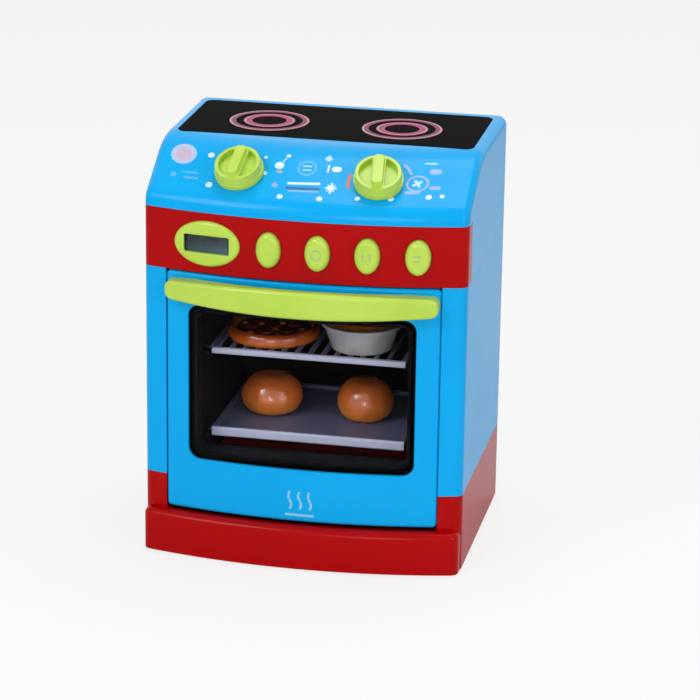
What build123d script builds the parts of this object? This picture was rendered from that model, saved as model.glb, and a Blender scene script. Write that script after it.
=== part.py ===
# Toy oven: cabinet on a plinth, drop-down door, racks with play food, sloped
# control panel with two knobs, fascia band with a clock window and four buttons.
# Millimetres, +Z up, front faces -Y, origin under the middle of the object.
import os
from math import asin, atan2, cos, degrees, radians, sin, sqrt, tan

from build123d import *

os.makedirs("parts", exist_ok=True)

# ---- Whole object ----
width = 206.0
body_depth = 155.0          # middle of the bowed front to the back
bow = 13.5                  # how far the middle of the front stands out from its corners
corner_radius = 6.0
wall = 2.4                  # moulded shells
seat_gap = 0.2              # between fixed mouldings that drop into each other
moving_gap = 0.4            # between pieces that move past each other

# ---- Heights of the main seams ----
foot_height = 1.5
seam_height = 52.0          # cabinet stands on the plinth here
band_bottom = 189.5
band_height = 39.0
housing_rise = 35.5         # top of the band to the flat top of the housing

# ---- Plinth ----
ledge_top = 29.0
ledge_reach = 8.0           # ledge stands this far in front of the door
ledge_round = 4.5           # less than the corner radius
ledge_step = 0.6            # ledge's ends inside the sides of the body
well_clearance = 0.8        # room around the swinging bottom of the door
base_thickness = 2.4
base_boss_inset = 31.0      # screw bosses from the sides
base_boss_front = 34.0      # and behind the front corners
base_boss_rear = 29.5       # and in front of the back
boss_radius = 3.5
boss_end_wall = 1.5         # closed end of a blind boss
foot_radius = 8.0
foot_seat = 0.8
foot_inset = 17.0           # feet from the sides
foot_front = 18.0           # behind the front corners
foot_rear = 15.5            # in front of the back
foot_chamfer = 0.5
wire_slot_width = 60.0
wire_slot_depth = 6.0
wire_slot_back = 6.5        # behind the oven's liner
pilot_radius = 1.1

# ---- Door ----
strip_width = 15.0          # of the cabinet's front, each side of the door
door_bottom = 30.5
door_top_gap = 1.0          # door to the band
door_back = 8.0             # inner face, measured back from the front corners
door_edge_round = 2.0
door_corner = 3.0
side_gap = 0.5              # door to the strips beside it
hinge_back = 2.0            # hinge axis, measured back from the front corners
hinge_height = 45.2
hinge_pin_radius = 1.5
hinge_pin_length = 13.0
hinge_pin_in_door = 7.5
pin_clearance = 0.06
window_side = 14.5          # window from the sides of the door
window_rise = 34.5          # from its bottom
window_drop = 20.5          # and from its top
window_corner = 8.0
window_overlap = 3.0        # pane under the door skin, all round
pane_thickness = 1.5
frame_border = 5.5          # of the inner frame, seen through the window
frame_corner = 6.0
frame_plate_thickness = 2.4
frame_collar = 2.0
frame_post_side = 7.0       # posts from the sides of the door
frame_post_rise = 19.5      # lower posts from its bottom
frame_post_drop = 28.5      # upper posts from its top

# ---- Handle ----
handle_end_margin = 0.5     # handle's ends from the sides of the door
handle_height = 17.5        # in the middle
handle_end_height = 12.0
handle_drop = 10.5          # its middle below the top of the door
handle_reach = 14.0         # outer face in front of the middle of the door
handle_end_reach = 8.5      # outer face in front of the door at the handle's ends
handle_grip = 6.0           # thickness of the bar in the middle
handle_mount = 19.0         # length that stands on the door, at each end
handle_round = 2.5
handle_end_round = 5.0
handle_screw_inset = 8.0    # screws from the handle's ends
handle_screw_length = 9.0
handle_screw_bite = 7.0     # depth of the pilot hole in the handle
handle_boss_rise = 1.5

# ---- Oven cavity ----
cavity_side = 35.0          # oven's sides from the sides of the body
cavity_drop = 7.5           # roof below the band
cavity_rear_room = 18.5     # oven's back in front of the back of the body
liner_wall = 2.0
liner_flange = 2.0
flange_width = 29.0
header_height = 5.0
header_depth = 12.0
jamb_reach = 3.0            # jambs run this far behind the door
lamp_back = 18.0            # lamp behind the front of the oven
lamp_radius = 2.5
lamp_flange = 0.6
lamp_below_roof = 1.5
lamp_above_roof = 4.0

# ---- Racks ----
upper_rack_height = 131.0   # underside of each rack
lower_rack_height = 75.5
rack_thickness = 2.6
rack_side = 5.5             # rack from the sides of the oven
rack_front = 13.5           # front rail, measured back from the front corners
rack_rear_room = 11.5       # rack in front of the back of the oven
rail_depth = 3.0
rack_travel = 11.0
runner_reach = 4.0
runner_thickness = 1.8
tongue_clearance = 0.6      # rack to the sides of the oven
rail_drop = 1.5             # front rail below the rack
rail_round = 1.3            # front edges of the front rails
tray_lip = 2.1
rack_bar = 2.2
rack_bar_count = 13

# ---- Play food ----
pizza_side = 8.0            # crust from the side of the oven; it reaches to the middle
pizza_back = 47.5           # middles of the pieces, measured back from the front corners
pizza_height = 9.0
pizza_crust = 5.0
pizza_topping_drop = 2.2
pizza_round = 3.2
pizza_inner_round = 1.6
pizza_base_round = 1.2
dish_side = 12.5            # rim of the dish from the side of the oven
dish_middle = 3.5           # and from its middle
pie_back = 39.5
dish_flare = 6.5            # rim's radius over that of the bottom
dish_height = 17.0
dish_wall = 1.6
dish_rim_reach = 1.2
dish_rim_height = 2.0
pie_drop = 1.0              # pie's edge below the rim of its dish
pie_dome = 5.0
roll_back = 60.0
left_roll_x = -33.5
left_roll_radius = 20.5
left_roll_height = 26.5
right_roll_x = 28.5
right_roll_radius = 19.0
right_roll_height = 27.5
roll_waist = 0.42           # height of the widest place, as a part of the whole height
roll_base = 0.62            # flat underside, as a part of the widest radius

# ---- Control panel ----
panel_slope = 32.0
nose_rise = 1.5             # the front wall starts to curve back above the band
nose_radius = 12.0
crown_radius = 48.0
knob_side = 59.0            # knobs from the sides of the body
knob_radius = 15.5
knob_skirt = 3.2
knob_skirt_step = 0.8
knob_rim_height = 9.0
knob_grip_height = 12.5
knob_grip_width = 8.5
knob_pocket_depth = 3.6
knob_pocket_radius = 12.2
knob_up_panel = 19.0        # knob centre, up the slope from the top of the nose
shaft_radius = 3.0
shaft_clearance = 0.08
shaft_boss_length = 8.0
shaft_boss_radius = 5.6
ratchet_radius = 8.0
ratchet_thickness = 3.0
ratchet_teeth = 12
ratchet_tooth = 1.4
knob_screw_length = 7.0
knob_screw_lap = 1.4        # head over the end of the shaft
clicker_thickness = 0.6
clicker_length = 24.0

# ---- Hob ----
hob_front = 52.0            # measured back from the front corners
hob_side = 7.5              # hob from the sides of the body
hob_thickness = 1.6
hob_proud = 0.2
hob_rear_margin = 6.0
hob_deck_margin = 2.0
burner_spacing = 87.0
burner_back = 38.0          # burner centre behind the front edge of the hob
outer_ring_radius = 25.7
outer_ring_width = 4.2
inner_ring_radius = 16.6
inner_ring_width = 5.4
ring_thickness = 0.7
ring_proud = 0.3

# ---- Fascia band, clock and buttons ----
band_return = 14.0          # how far the band wraps along each side
band_tongue = 1.4
band_tongue_height = 3.0
band_floor = 1.6
clock_side = 43.0           # clock's middle from the side of the body
clock_width = 43.0
clock_height = 29.0
clock_proud = 3.0
clock_plug_margin = 1.5
clock_opening_width = 30.0
clock_opening_height = 11.5
clock_lens_thickness = 1.0
clock_round = 2.3
clock_corner = 1.2
clock_plug_reach = 0.6      # plug behind the band
lens_front = -0.8           # inset of the lens from the band's face
lens_rim = 1.25
lens_gap = 0.1
display_gap = 0.3
button_clock_gap = 10.65    # first button from the clock
button_side = 30.0          # last button's middle from the side of the body
button_count = 4
button_width = 15.7
button_height = 22.5
button_proud = 4.6
button_flange = 1.5
button_flange_thickness = 1.5
button_round = 3.6
flange_gap = 0.3
button_travel = 1.5
stem_radius = 3.0
board_back = 8.0            # front of the circuit board behind the front corners
board_thickness = 1.6
board_side = 8.0            # board from the sides of the body
board_height = 34.0
board_screw_inset = 5.0     # posts from the sides of the board
board_screw_drop = 6.0      # and from its top and bottom
chip_side = 78.0            # chip from the side of the body
chip_radius = 6.0
chip_height = 1.6
pad_thickness = 1.0
dome_height = 2.0
dome_radius = 4.0
pad_margin = 11.0
post_radius = 3.0

# ---- Batteries, in the plinth ----
cell_radius = 7.1
cell_length = 50.0
cell_nub = 1.0
battery_centre = 70.0       # measured back from the front corners
contact_thickness = 0.5
spring_length = 4.5
spring_radius = 3.2
spring_wire = 0.7
box_wall = 2.0
box_flange = 4.0
box_depth = 15.2
cover_gap = 0.3
cover_corner = 1.5
cover_screw_room = 8.0
cover_boss_height = 10.0
cell_clearance = 0.2
cell_spacing = 1.0
nub_radius = 2.75
contact_width = 10.0
contact_height = 11.0

# ---- Rear cover ----
rear_boss_inset = 4.0       # screw bosses inside the side walls
rear_boss_radius = 4.5
rear_boss_length = 14.0
rear_boss_margin = 18.0     # from the seams of the cabinet
housing_boss_drop = 24.0    # from the top of the housing
rear_cover_corner = 4.0

# ---- Loudspeaker, behind the rear cover ----
speaker_x = -45.0
speaker_drop = 42.0         # below the top of the housing
speaker_radius = 20.0
speaker_rim = 2.5
magnet_radius = 9.0
magnet_length = 6.0
grille_pitch = 5.0
grille_hole = 1.3
cone_inset = 3.0            # edge of the cone inside the rim
basket_depth = 10.0
basket_wall = 1.0
cone_thickness = 0.6
cone_depth = 6.2
dust_cap_radius = 7.0
dust_cap_rise = 1.5
speaker_ring_wall = 1.6

# ---- Leads ----
wire_radius = 0.7
wire_bend = 4.0
wire_rise = 8.0             # leads above the piece they pass over
battery_wire_x = 12.0
speaker_wire_x = 5.0
speaker_wire_drop = 12.0
lamp_wire_x = 1.2

# ---- Screws ----
screw_radius = 1.25
screw_head_radius = 2.6
screw_head_height = 1.6
screw_shank_gap = 0.05      # shank to its pilot hole
screw_hole_gap = 0.2        # shank and head to the piece they pass through
screw_slot_length = 2.8
screw_slot_width = 0.6
screw_slot_depth = 0.6
base_screw_length = 9.0
board_screw_length = 7.0
rear_screw_length = 10.0
door_screw_length = 7.5

# ---- Values worked out from the sizes above ----
half_width = width / 2
total_depth = body_depth + handle_reach
back_y = total_depth / 2
bow_y = back_y - body_depth                     # middle of the bowed front
corner_y = bow_y + bow                          # front of the corners
bow_radius = (half_width**2 + bow**2) / (2 * bow)
bow_axis = Axis((0, bow_y + bow_radius, 0), (0, 0, 1))
band_top = band_bottom + band_height
band_middle = band_bottom + band_height / 2
total_height = band_top + housing_rise          # table to the flat top of the housing
nose_start = band_top + nose_rise
strip_x = half_width - strip_width              # inner edge of the strips beside the door
door_half = strip_x - side_gap
door_width = 2 * door_half
door_top = band_bottom - door_top_gap
window_width = door_width - 2 * window_side
window_bottom = door_bottom + window_rise
window_top = door_top - window_drop
frame_post_x = door_half - frame_post_side
frame_post_heights = (door_bottom + frame_post_rise, door_top - frame_post_drop)
handle_half = door_half - handle_end_margin
handle_gap_half = handle_half - handle_mount
handle_screw_x = handle_half - handle_screw_inset
handle_centre_height = door_top - handle_drop
hinge_y = corner_y + hinge_back
door_back_y = corner_y + door_back
jamb_back_y = door_back_y + jamb_reach
cavity_half = half_width - cavity_side
cavity_width = 2 * cavity_half
cavity_back_y = back_y - cavity_rear_room
cavity_top = band_bottom - cavity_drop
rack_width = cavity_width - 2 * rack_side
pizza_radius = (cavity_half - pizza_side) / 2
pizza_x = -pizza_radius
dish_top_radius = (cavity_half - dish_side - dish_middle) / 2
dish_bottom_radius = dish_top_radius - dish_flare
pie_x = dish_middle + dish_top_radius
knob_spacing = width - 2 * knob_side
clock_x = clock_side - half_width
button_first_x = clock_x + (clock_width + button_width) / 2 + button_clock_gap
button_last_x = half_width - button_side
button_pitch = (button_last_x - button_first_x) / (button_count - 1)
chip_x = half_width - chip_side
hob_width = width - 2 * hob_side
board_width = width - 2 * board_side
speaker_height = total_height - speaker_drop
header_bottom = band_bottom - header_height
board_y = corner_y + board_back
slope = radians(panel_slope)


def front_y(x, inset=0.0):
    # The bowed front at a given x; inset is measured inwards, square to the surface.
    return bow_y + bow_radius - sqrt((bow_radius - inset) ** 2 - x**2)


def front_slab(half, inset, rear_y):
    # Plan area between the bowed front, moved in by inset, and a straight rear line.
    side_y = front_y(half, inset)
    with BuildSketch(mode=Mode.PRIVATE) as slab:
        with BuildLine():
            ThreePointArc((-half, side_y), (0, bow_y + inset), (half, side_y))
            Polyline((half, side_y), (half, rear_y), (-half, rear_y), (-half, side_y))
        make_face()
    return slab.sketch


def plan_outline(inset=0.0, forward=0.0, rear_y=back_y):
    # Outline of the whole body in plan, with rounded front corners.
    with BuildSketch(mode=Mode.PRIVATE) as outline:
        add(front_slab(half_width - inset, inset - forward, rear_y))
        front_corners = outline.vertices().group_by(Axis.Y)[0]
        fillet(front_corners, max(corner_radius - inset, 1.0))
    return outline.sketch


def front_plane(y):
    # Vertical plane at y; a positive extrusion comes towards the front.
    return Plane.XZ.offset(-y)


def screw_countersink():
    # Hole for a countersunk screw, at the location of the surrounding block.
    CounterSinkHole(
        screw_radius + screw_hole_gap,
        screw_head_radius + screw_hole_gap,
        counter_sink_angle=90,
    )


def cross_slots():
    # Drive slots in the top of a screw's head.
    for length, breadth in ((screw_slot_length, screw_slot_width), (screw_slot_width, screw_slot_length)):
        Box(length, breadth, 2 * screw_slot_depth, mode=Mode.SUBTRACT)


def upright_plane(x, y, z):
    # Vertical plane facing the front, with its origin at a point.
    return Plane((x, y, z), x_dir=(1, 0, 0), z_dir=(0, -1, 0))


def front_prism(shape, front_inset, rear_y):
    # A front-view shape made solid from rear_y out to the bowed front.
    with BuildPart(mode=Mode.PRIVATE) as prism:
        with BuildSketch(front_plane(rear_y)):
            add(shape)
        extrude(amount=rear_y - bow_y + body_depth)
        with BuildSketch():
            add(front_slab(half_width, front_inset, rear_y + 1))
        extrude(amount=total_height, mode=Mode.INTERSECT)
    return prism.part


def front_sheet(shape, front_inset, rear_inset):
    # A front-view shape made into a sheet that follows the bow on both faces.
    with BuildPart(mode=Mode.PRIVATE) as sheet:
        add(front_prism(shape, front_inset, back_y))
        with BuildSketch():
            add(front_slab(half_width, rear_inset, 2 * back_y))
        extrude(amount=total_height, mode=Mode.SUBTRACT)
    return sheet.part


def front_ellipse(x, z, across, tall):
    with BuildSketch(mode=Mode.PRIVATE) as shape:
        with Locations((x, z)):
            Ellipse(across / 2, tall / 2)
    return shape.sketch


def front_rectangle(x, low, high, across, radius):
    with BuildSketch(mode=Mode.PRIVATE) as shape:
        with Locations((x, (low + high) / 2)):
            RectangleRounded(across, high - low, radius)
    return shape.sketch


# ================= Base =================

# Plinth: ledge, cheeks that hold the door's pins, door well and oven floor.
well_rear_y = hinge_y + sqrt((hinge_height - door_bottom) ** 2 + (door_back - hinge_back) ** 2)
well_rear_y += well_clearance
well_reach = hinge_y - bow_y
well_floor = hinge_height - sqrt((hinge_height - door_bottom) ** 2 + well_reach**2) - well_clearance
base_boss_x = half_width - base_boss_inset
base_boss_ys = (corner_y + base_boss_front, back_y - base_boss_rear)
base_boss_places = [(x, y) for x in (-base_boss_x, base_boss_x) for y in base_boss_ys]
wire_slot_y = cavity_back_y + liner_wall + wire_slot_back

with BuildPart() as plinth:
    # Ledge, rounded along its top, then the body that stands on it.
    with BuildSketch(Plane.XY.offset(foot_height)) as ledge_outline:
        add(front_slab(half_width - ledge_step, -ledge_reach, door_back_y))
        fillet(ledge_outline.vertices().group_by(Axis.Y)[0], corner_radius)
    extrude(amount=ledge_top - foot_height)
    ledge_edges = plinth.edges().group_by(Axis.Z)[-1]
    fillet(ledge_edges.filter_by(lambda edge: edge.center().Y < door_back_y - 1), ledge_round)
    with BuildSketch(Plane.XY.offset(foot_height)):
        add(plan_outline())
    extrude(amount=seam_height - foot_height)
    # The well in which the bottom of the door swings.
    with BuildSketch(Plane.XY.offset(well_floor)):
        add(front_slab(strip_x, -moving_gap, well_rear_y))
    extrude(amount=total_height, mode=Mode.SUBTRACT)
    # Hollow underside.
    with BuildSketch(Plane.XY.offset(foot_height)):
        add(plan_outline(inset=wall, forward=ledge_reach, rear_y=back_y - wall))
    extrude(amount=well_floor - wall - foot_height, mode=Mode.SUBTRACT)
    with BuildSketch(Plane.XY.offset(foot_height)):
        add(plan_outline(inset=wall, rear_y=back_y - wall))
        add(front_slab(strip_x + wall, -ledge_reach, well_rear_y + wall), mode=Mode.SUBTRACT)
    extrude(amount=seam_height - wall - foot_height, mode=Mode.SUBTRACT)
    # Slot in the floor behind the oven for the battery leads.
    with Locations((0, wire_slot_y, seam_height - wall / 2)):
        Box(wire_slot_width, wire_slot_depth, 2 * wall, mode=Mode.SUBTRACT)
    # Bosses for the screws of the base plate.
    with BuildSketch(Plane.XY.offset(foot_height + base_thickness)):
        with Locations(*base_boss_places):
            Circle(boss_radius)
    extrude(amount=seam_height - wall / 2 - foot_height - base_thickness)
    with BuildSketch(Plane.XY.offset(foot_height + base_thickness)):
        with Locations(*base_boss_places):
            Circle(screw_radius)
    extrude(amount=base_screw_length + 2, mode=Mode.SUBTRACT)
    # Pin bosses in the cheeks.
    for side in (-1, 1):
        pin_plane = Plane((side * strip_x, hinge_y, hinge_height), x_dir=(0, 1, 0), z_dir=(side, 0, 0))
        with BuildSketch(pin_plane):
            Circle(boss_radius)
        extrude(amount=hinge_pin_length - hinge_pin_in_door + boss_end_wall)
        with BuildSketch(pin_plane):
            Circle(hinge_pin_radius + pin_clearance)
        extrude(amount=hinge_pin_length - hinge_pin_in_door, mode=Mode.SUBTRACT)
plinth.part.label = "plinth"
export_step(plinth.part, "parts/plinth.step")

# Base plate with the battery opening, closed by the battery door.
base_top = foot_height + base_thickness
battery_y = corner_y + battery_centre
box_inner_length = cell_length + cell_nub + spring_length + 2 * contact_thickness
box_inner_width = 4 * cell_radius + 2 * cell_spacing
box_length = box_inner_length + 2 * box_wall
box_width = box_inner_width + 2 * box_wall
cover_length = box_length + 2 * cover_gap
cover_width = box_width + cover_screw_room
cover_y = battery_y + (cover_width - box_width) / 2
cover_screw_y = battery_y + box_width / 2 + cover_screw_room / 2
foot_x = half_width - foot_inset
foot_places = [(x, y) for x in (-foot_x, foot_x) for y in (corner_y + foot_front, back_y - foot_rear)]

with BuildPart() as base_plate:
    with BuildSketch(Plane.XY.offset(foot_height)):
        add(plan_outline(wall + seat_gap, ledge_reach, back_y - wall - seat_gap))
        with Locations((0, cover_y)):
            Rectangle(cover_length + 2 * cover_gap, cover_width + 2 * cover_gap, mode=Mode.SUBTRACT)
    extrude(amount=base_thickness)
    with Locations(*[(x, y, foot_height) for x, y in base_boss_places]):
        screw_countersink()
    with BuildSketch(Plane.XY.offset(foot_height)):
        with Locations(*foot_places):
            Circle(foot_radius + seat_gap / 2)
    extrude(amount=foot_seat, mode=Mode.SUBTRACT)
base_plate.part.label = "base_plate"
export_step(base_plate.part, "parts/base_plate.step")

with BuildPart() as feet:
    with BuildSketch():
        with Locations(*foot_places):
            Circle(foot_radius)
    extrude(amount=foot_height + foot_seat)
    chamfer(feet.edges().group_by(Axis.Z)[0], foot_chamfer)
feet.part.label = "feet"
export_step(feet.part, "parts/feet.step")

# Battery box: a tray over the opening, its cells lie side by side along X.
box_floor = base_top
box_top = box_floor + box_depth + box_wall

with BuildPart() as battery_box:
    with BuildSketch(Plane.XY.offset(box_floor)):
        with Locations((0, cover_y)):
            Rectangle(cover_length + 2 * box_flange, cover_width + 2 * box_flange)
    extrude(amount=box_wall)
    with BuildSketch(Plane.XY.offset(box_floor)):
        with Locations((0, battery_y)):
            Rectangle(box_length, box_width)
    extrude(amount=box_top - box_floor)
    with BuildSketch(Plane.XY.offset(box_floor)):
        with Locations((0, battery_y)):
            Rectangle(box_inner_length, box_inner_width)
    extrude(amount=box_depth, mode=Mode.SUBTRACT)
    with BuildSketch(Plane.XY.offset(box_floor)):
        with Locations((0, cover_screw_y)):
            Circle(boss_radius)
    extrude(amount=cover_boss_height)
    with BuildSketch(Plane.XY.offset(box_floor)):
        with Locations((0, cover_screw_y)):
            Circle(screw_radius)
    extrude(amount=cover_boss_height - boss_end_wall, mode=Mode.SUBTRACT)
battery_box.part.label = "battery_box"
export_step(battery_box.part, "parts/battery_box.step")

with BuildPart() as battery_door:
    with BuildSketch(Plane.XY.offset(foot_height)):
        with Locations((0, cover_y)):
            RectangleRounded(cover_length, cover_width, cover_corner)
    extrude(amount=base_thickness)
    with Locations((0, cover_screw_y, foot_height)):
        screw_countersink()
battery_door.part.label = "battery_door"
export_step(battery_door.part, "parts/battery_door.step")

# Two cells, head to tail, with a spring and a plate at each one's ends.
cell_z = box_floor + cell_radius + cell_clearance
cell_pitch = 2 * cell_radius + cell_spacing
cell_rows = [(-1, battery_y - cell_pitch / 2), (1, battery_y + cell_pitch / 2)]
inner_end = box_inner_length / 2

with BuildPart() as batteries:
    for nub_side, row_y in cell_rows:
        nub_face = nub_side * (inner_end - contact_thickness)
        nub_plane = Plane((nub_face, row_y, cell_z), x_dir=(0, 1, 0), z_dir=(-nub_side, 0, 0))
        with BuildSketch(nub_plane):
            Circle(nub_radius)
        extrude(amount=cell_nub)
        with BuildSketch(nub_plane.offset(cell_nub)):
            Circle(cell_radius)
        extrude(amount=cell_length)
batteries.part.label = "batteries"
export_step(batteries.part, "parts/batteries.step")

with BuildPart() as battery_contacts:
    for nub_side, row_y in cell_rows:
        for end in (-1, 1):
            with Locations((end * (inner_end - contact_thickness / 2), row_y, cell_z)):
                Box(contact_thickness, contact_width, contact_height)
        spring_start = -nub_side * (inner_end - contact_thickness)
        spring_plane = Plane((spring_start, row_y, cell_z), x_dir=(0, 1, 0), z_dir=(nub_side, 0, 0))
        coil = Helix(
            pitch=(spring_length - spring_wire) / 3,
            height=spring_length - spring_wire,
            radius=spring_radius,
            center=(spring_plane * Pos(0, 0, spring_wire / 2)).position,
            direction=spring_plane.z_dir,
        )
        with BuildSketch(Plane(coil @ 0, z_dir=coil % 0)):
            Circle(spring_wire / 2)
        sweep(path=coil, is_frenet=True)
battery_contacts.part.label = "battery_contacts"
export_step(battery_contacts.part, "parts/battery_contacts.step")


def countersunk_screw(length):
    # Head upwards at the origin, thread down -Z.
    with BuildPart(mode=Mode.PRIVATE) as screw:
        Cone(
            screw_radius,
            screw_head_radius,
            screw_head_radius - screw_radius,
            align=(Align.CENTER, Align.CENTER, Align.MAX),
        )
        Cylinder(screw_radius - screw_shank_gap, length, align=(Align.CENTER, Align.CENTER, Align.MAX))
        cross_slots()
    return screw.part


def pan_head_screw(length):
    # Underside of the head at the origin, thread down -Z.
    with BuildPart(mode=Mode.PRIVATE) as screw:
        Cylinder(screw_head_radius, screw_head_height, align=(Align.CENTER, Align.CENTER, Align.MIN))
        Cylinder(screw_radius - screw_shank_gap, length, align=(Align.CENTER, Align.CENTER, Align.MAX))
        fillet(screw.edges().group_by(Axis.Z)[-1], screw_head_height / 3)
        with Locations((0, 0, screw_head_height)):
            cross_slots()
    return screw.part


with BuildPart() as base_screws:
    for x, y in base_boss_places + [(0, cover_screw_y)]:
        add(Plane((x, y, foot_height), z_dir=(0, 0, -1)) * countersunk_screw(base_screw_length))
base_screws.part.label = "base_screws"
export_step(base_screws.part, "parts/base_screws.step")

# ================= Cabinet and oven =================

rear_boss_x = half_width - wall - rear_boss_inset
lowest_boss = seam_height + rear_boss_margin
highest_boss = band_bottom - rear_boss_margin
cabinet_boss_heights = (lowest_boss, (lowest_boss + highest_boss) / 2, highest_boss)
rear_cover_y = back_y - wall

with BuildPart() as cabinet_shell:
    with BuildSketch(Plane.XY.offset(seam_height)):
        add(plan_outline())
        add(plan_outline(inset=wall, rear_y=back_y + 1), mode=Mode.SUBTRACT)
        add(front_slab(strip_x, -wall, jamb_back_y), mode=Mode.SUBTRACT)
    extrude(amount=band_bottom - seam_height)
    # Jambs behind the strips, and the header that joins the two sides.
    with BuildSketch(Plane.XY.offset(seam_height)):
        for side in (-1, 1):
            with Locations((side * (strip_x + wall / 2), (jamb_back_y + bow_y) / 2)):
                Rectangle(wall, jamb_back_y - bow_y)
        add(front_slab(half_width, wall / 2, jamb_back_y), mode=Mode.INTERSECT)
    extrude(amount=band_bottom - seam_height)
    with Locations((0, jamb_back_y + header_depth / 2, band_bottom - header_height / 2)):
        Box(width - 2 * wall + 1, header_depth, header_height)
    # Screw bosses for the rear cover.
    for height in cabinet_boss_heights:
        for side in (-1, 1):
            with BuildSketch(front_plane(rear_cover_y)):
                with Locations((side * rear_boss_x, height)):
                    Circle(rear_boss_radius)
            extrude(amount=rear_boss_length)
            with BuildSketch(front_plane(rear_cover_y)):
                with Locations((side * rear_boss_x, height)):
                    Circle(screw_radius)
            extrude(amount=rear_boss_length - 2, mode=Mode.SUBTRACT)
cabinet_shell.part.label = "cabinet_shell"
export_step(cabinet_shell.part, "parts/cabinet_shell.step")

# Liner: sides, roof, back and front flange of the oven; it stands on the plinth.
liner_front_y = jamb_back_y
runner_levels = (lower_rack_height, upper_rack_height)
runner_x = cavity_half - runner_reach / 2
runner_length = cavity_back_y - liner_front_y - liner_flange
lamp_y = liner_front_y + lamp_back

with BuildPart() as cavity_liner:
    with BuildSketch(Plane.XY.offset(seam_height)):
        with Locations((0, (liner_front_y + cavity_back_y + liner_wall) / 2)):
            Rectangle(cavity_width + 2 * liner_wall, cavity_back_y + liner_wall - liner_front_y)
    extrude(amount=cavity_top + liner_wall - seam_height)
    with BuildSketch(Plane.XY.offset(seam_height)):
        with Locations((0, (liner_front_y + cavity_back_y) / 2)):
            Rectangle(cavity_width, cavity_back_y - liner_front_y)
    extrude(amount=cavity_top - seam_height, mode=Mode.SUBTRACT)
    for side in (-1, 1):
        flange_middle = side * (cavity_half + flange_width / 2)
        flange_height = header_bottom - seam_height
        with Locations((flange_middle, liner_front_y + liner_flange / 2, seam_height + flange_height / 2)):
            Box(flange_width, liner_flange, flange_height)
        for level in runner_levels:
            lower_runner = level - moving_gap - runner_thickness / 2
            upper_runner = level + rack_thickness + moving_gap + runner_thickness / 2
            for height in (lower_runner, upper_runner):
                with Locations((side * runner_x, cavity_back_y - runner_length / 2, height)):
                    Box(runner_reach, runner_length, runner_thickness)
    with Locations((0, lamp_y, cavity_top + liner_wall / 2)):
        Cylinder(lamp_radius + seat_gap / 2, 2 * liner_wall, mode=Mode.SUBTRACT)
cavity_liner.part.label = "cavity_liner"
export_step(cavity_liner.part, "parts/cavity_liner.step")

# ================= Top housing, hob and knobs =================

# Profile of the control panel at the middle: a nose arc, a straight slope, a crown arc.
slope_normal = Vector(0, -sin(slope), cos(slope))
nose_centre = Vector(0, bow_y + nose_radius, nose_start)
nose_end = nose_centre + slope_normal * nose_radius
crown_low = total_height - crown_radius * (1 - cos(slope))
slope_run = (crown_low - nose_end.Z) / tan(slope)
crown_centre = Vector(0, nose_end.Y + slope_run + crown_radius * sin(slope), total_height - crown_radius)


def housing_profile(inset, rear_y):
    # Side view of the top housing at its middle, moved in by inset.
    low_front = Vector(0, bow_y + inset, band_bottom)
    nose_low = Vector(0, bow_y + inset, nose_start)
    nose_high = nose_centre + slope_normal * (nose_radius - inset)
    crown_front = crown_centre + slope_normal * (crown_radius - inset)
    crown_top = crown_centre + Vector(0, 0, crown_radius - inset)
    with BuildSketch(Plane.YZ, mode=Mode.PRIVATE) as profile:
        with BuildLine():
            Line((low_front.Y, low_front.Z), (nose_low.Y, nose_low.Z))
            TangentArc((nose_low.Y, nose_low.Z), (nose_high.Y, nose_high.Z), tangent=(0, 1))
            Line((nose_high.Y, nose_high.Z), (crown_front.Y, crown_front.Z))
            TangentArc(
                (crown_front.Y, crown_front.Z),
                (crown_top.Y, crown_top.Z),
                tangent=(cos(slope), sin(slope)),
            )
            Polyline(
                (crown_top.Y, crown_top.Z),
                (rear_y, crown_top.Z),
                (rear_y, low_front.Z),
                (low_front.Y, low_front.Z),
            )
        make_face()
    return profile.sketch


def housing_blank(inset, rear_y):
    # The profile swung about the axis of the bow, cut to the width of the body.
    with BuildPart(mode=Mode.PRIVATE) as blank:
        add(housing_profile(inset, rear_y + bow))
        revolve(axis=bow_axis)
        with BuildSketch(Plane.XY.offset(band_bottom)):
            with Locations((0, rear_y - body_depth)):
                Rectangle(width - 2 * inset, 2 * body_depth)
        extrude(amount=total_height, mode=Mode.INTERSECT)
        side_edges = blank.edges().filter_by(
            lambda edge: abs(abs(edge.center().X) - half_width + inset) < 0.01
            and edge.center().Y < rear_y - 0.01
            and edge.center().Z > band_bottom + 0.01
        )
        fillet(side_edges, max(corner_radius - inset, 1.0))
    return blank.part


def panel_plane(x):
    # Plane on the panel's outer face at a knob, tilted and turned with the bow.
    mid_y = nose_end.Y + knob_up_panel * cos(slope)
    mid_z = nose_end.Z + knob_up_panel * sin(slope)
    swing_radius = bow_y + bow_radius - mid_y
    turn = asin(x / swing_radius)
    place_y = bow_y + bow_radius - swing_radius * cos(turn)
    normal = (sin(slope) * sin(turn), -sin(slope) * cos(turn), cos(slope))
    return Plane((x, place_y, mid_z), x_dir=(cos(turn), sin(turn), 0), z_dir=normal)


knob_planes = {"left": panel_plane(-knob_spacing / 2), "right": panel_plane(knob_spacing / 2)}
boss_end = wall + shaft_boss_length
ratchet_level = boss_end + moving_gap
clicker_y = ratchet_radius + moving_gap
clicker_post_radius = pilot_radius + boss_end_wall
clicker_post_x = 2 - clicker_length / 2
clicker_post_y = clicker_y + clicker_thickness + clicker_post_radius
hob_front_y = corner_y + hob_front
hob_depth = back_y - hob_rear_margin - hob_front_y
hob_y = hob_front_y + hob_depth / 2
hob_seat = total_height - hob_thickness + hob_proud
band_return_y = corner_y + band_return
housing_boss_height = total_height - housing_boss_drop

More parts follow.
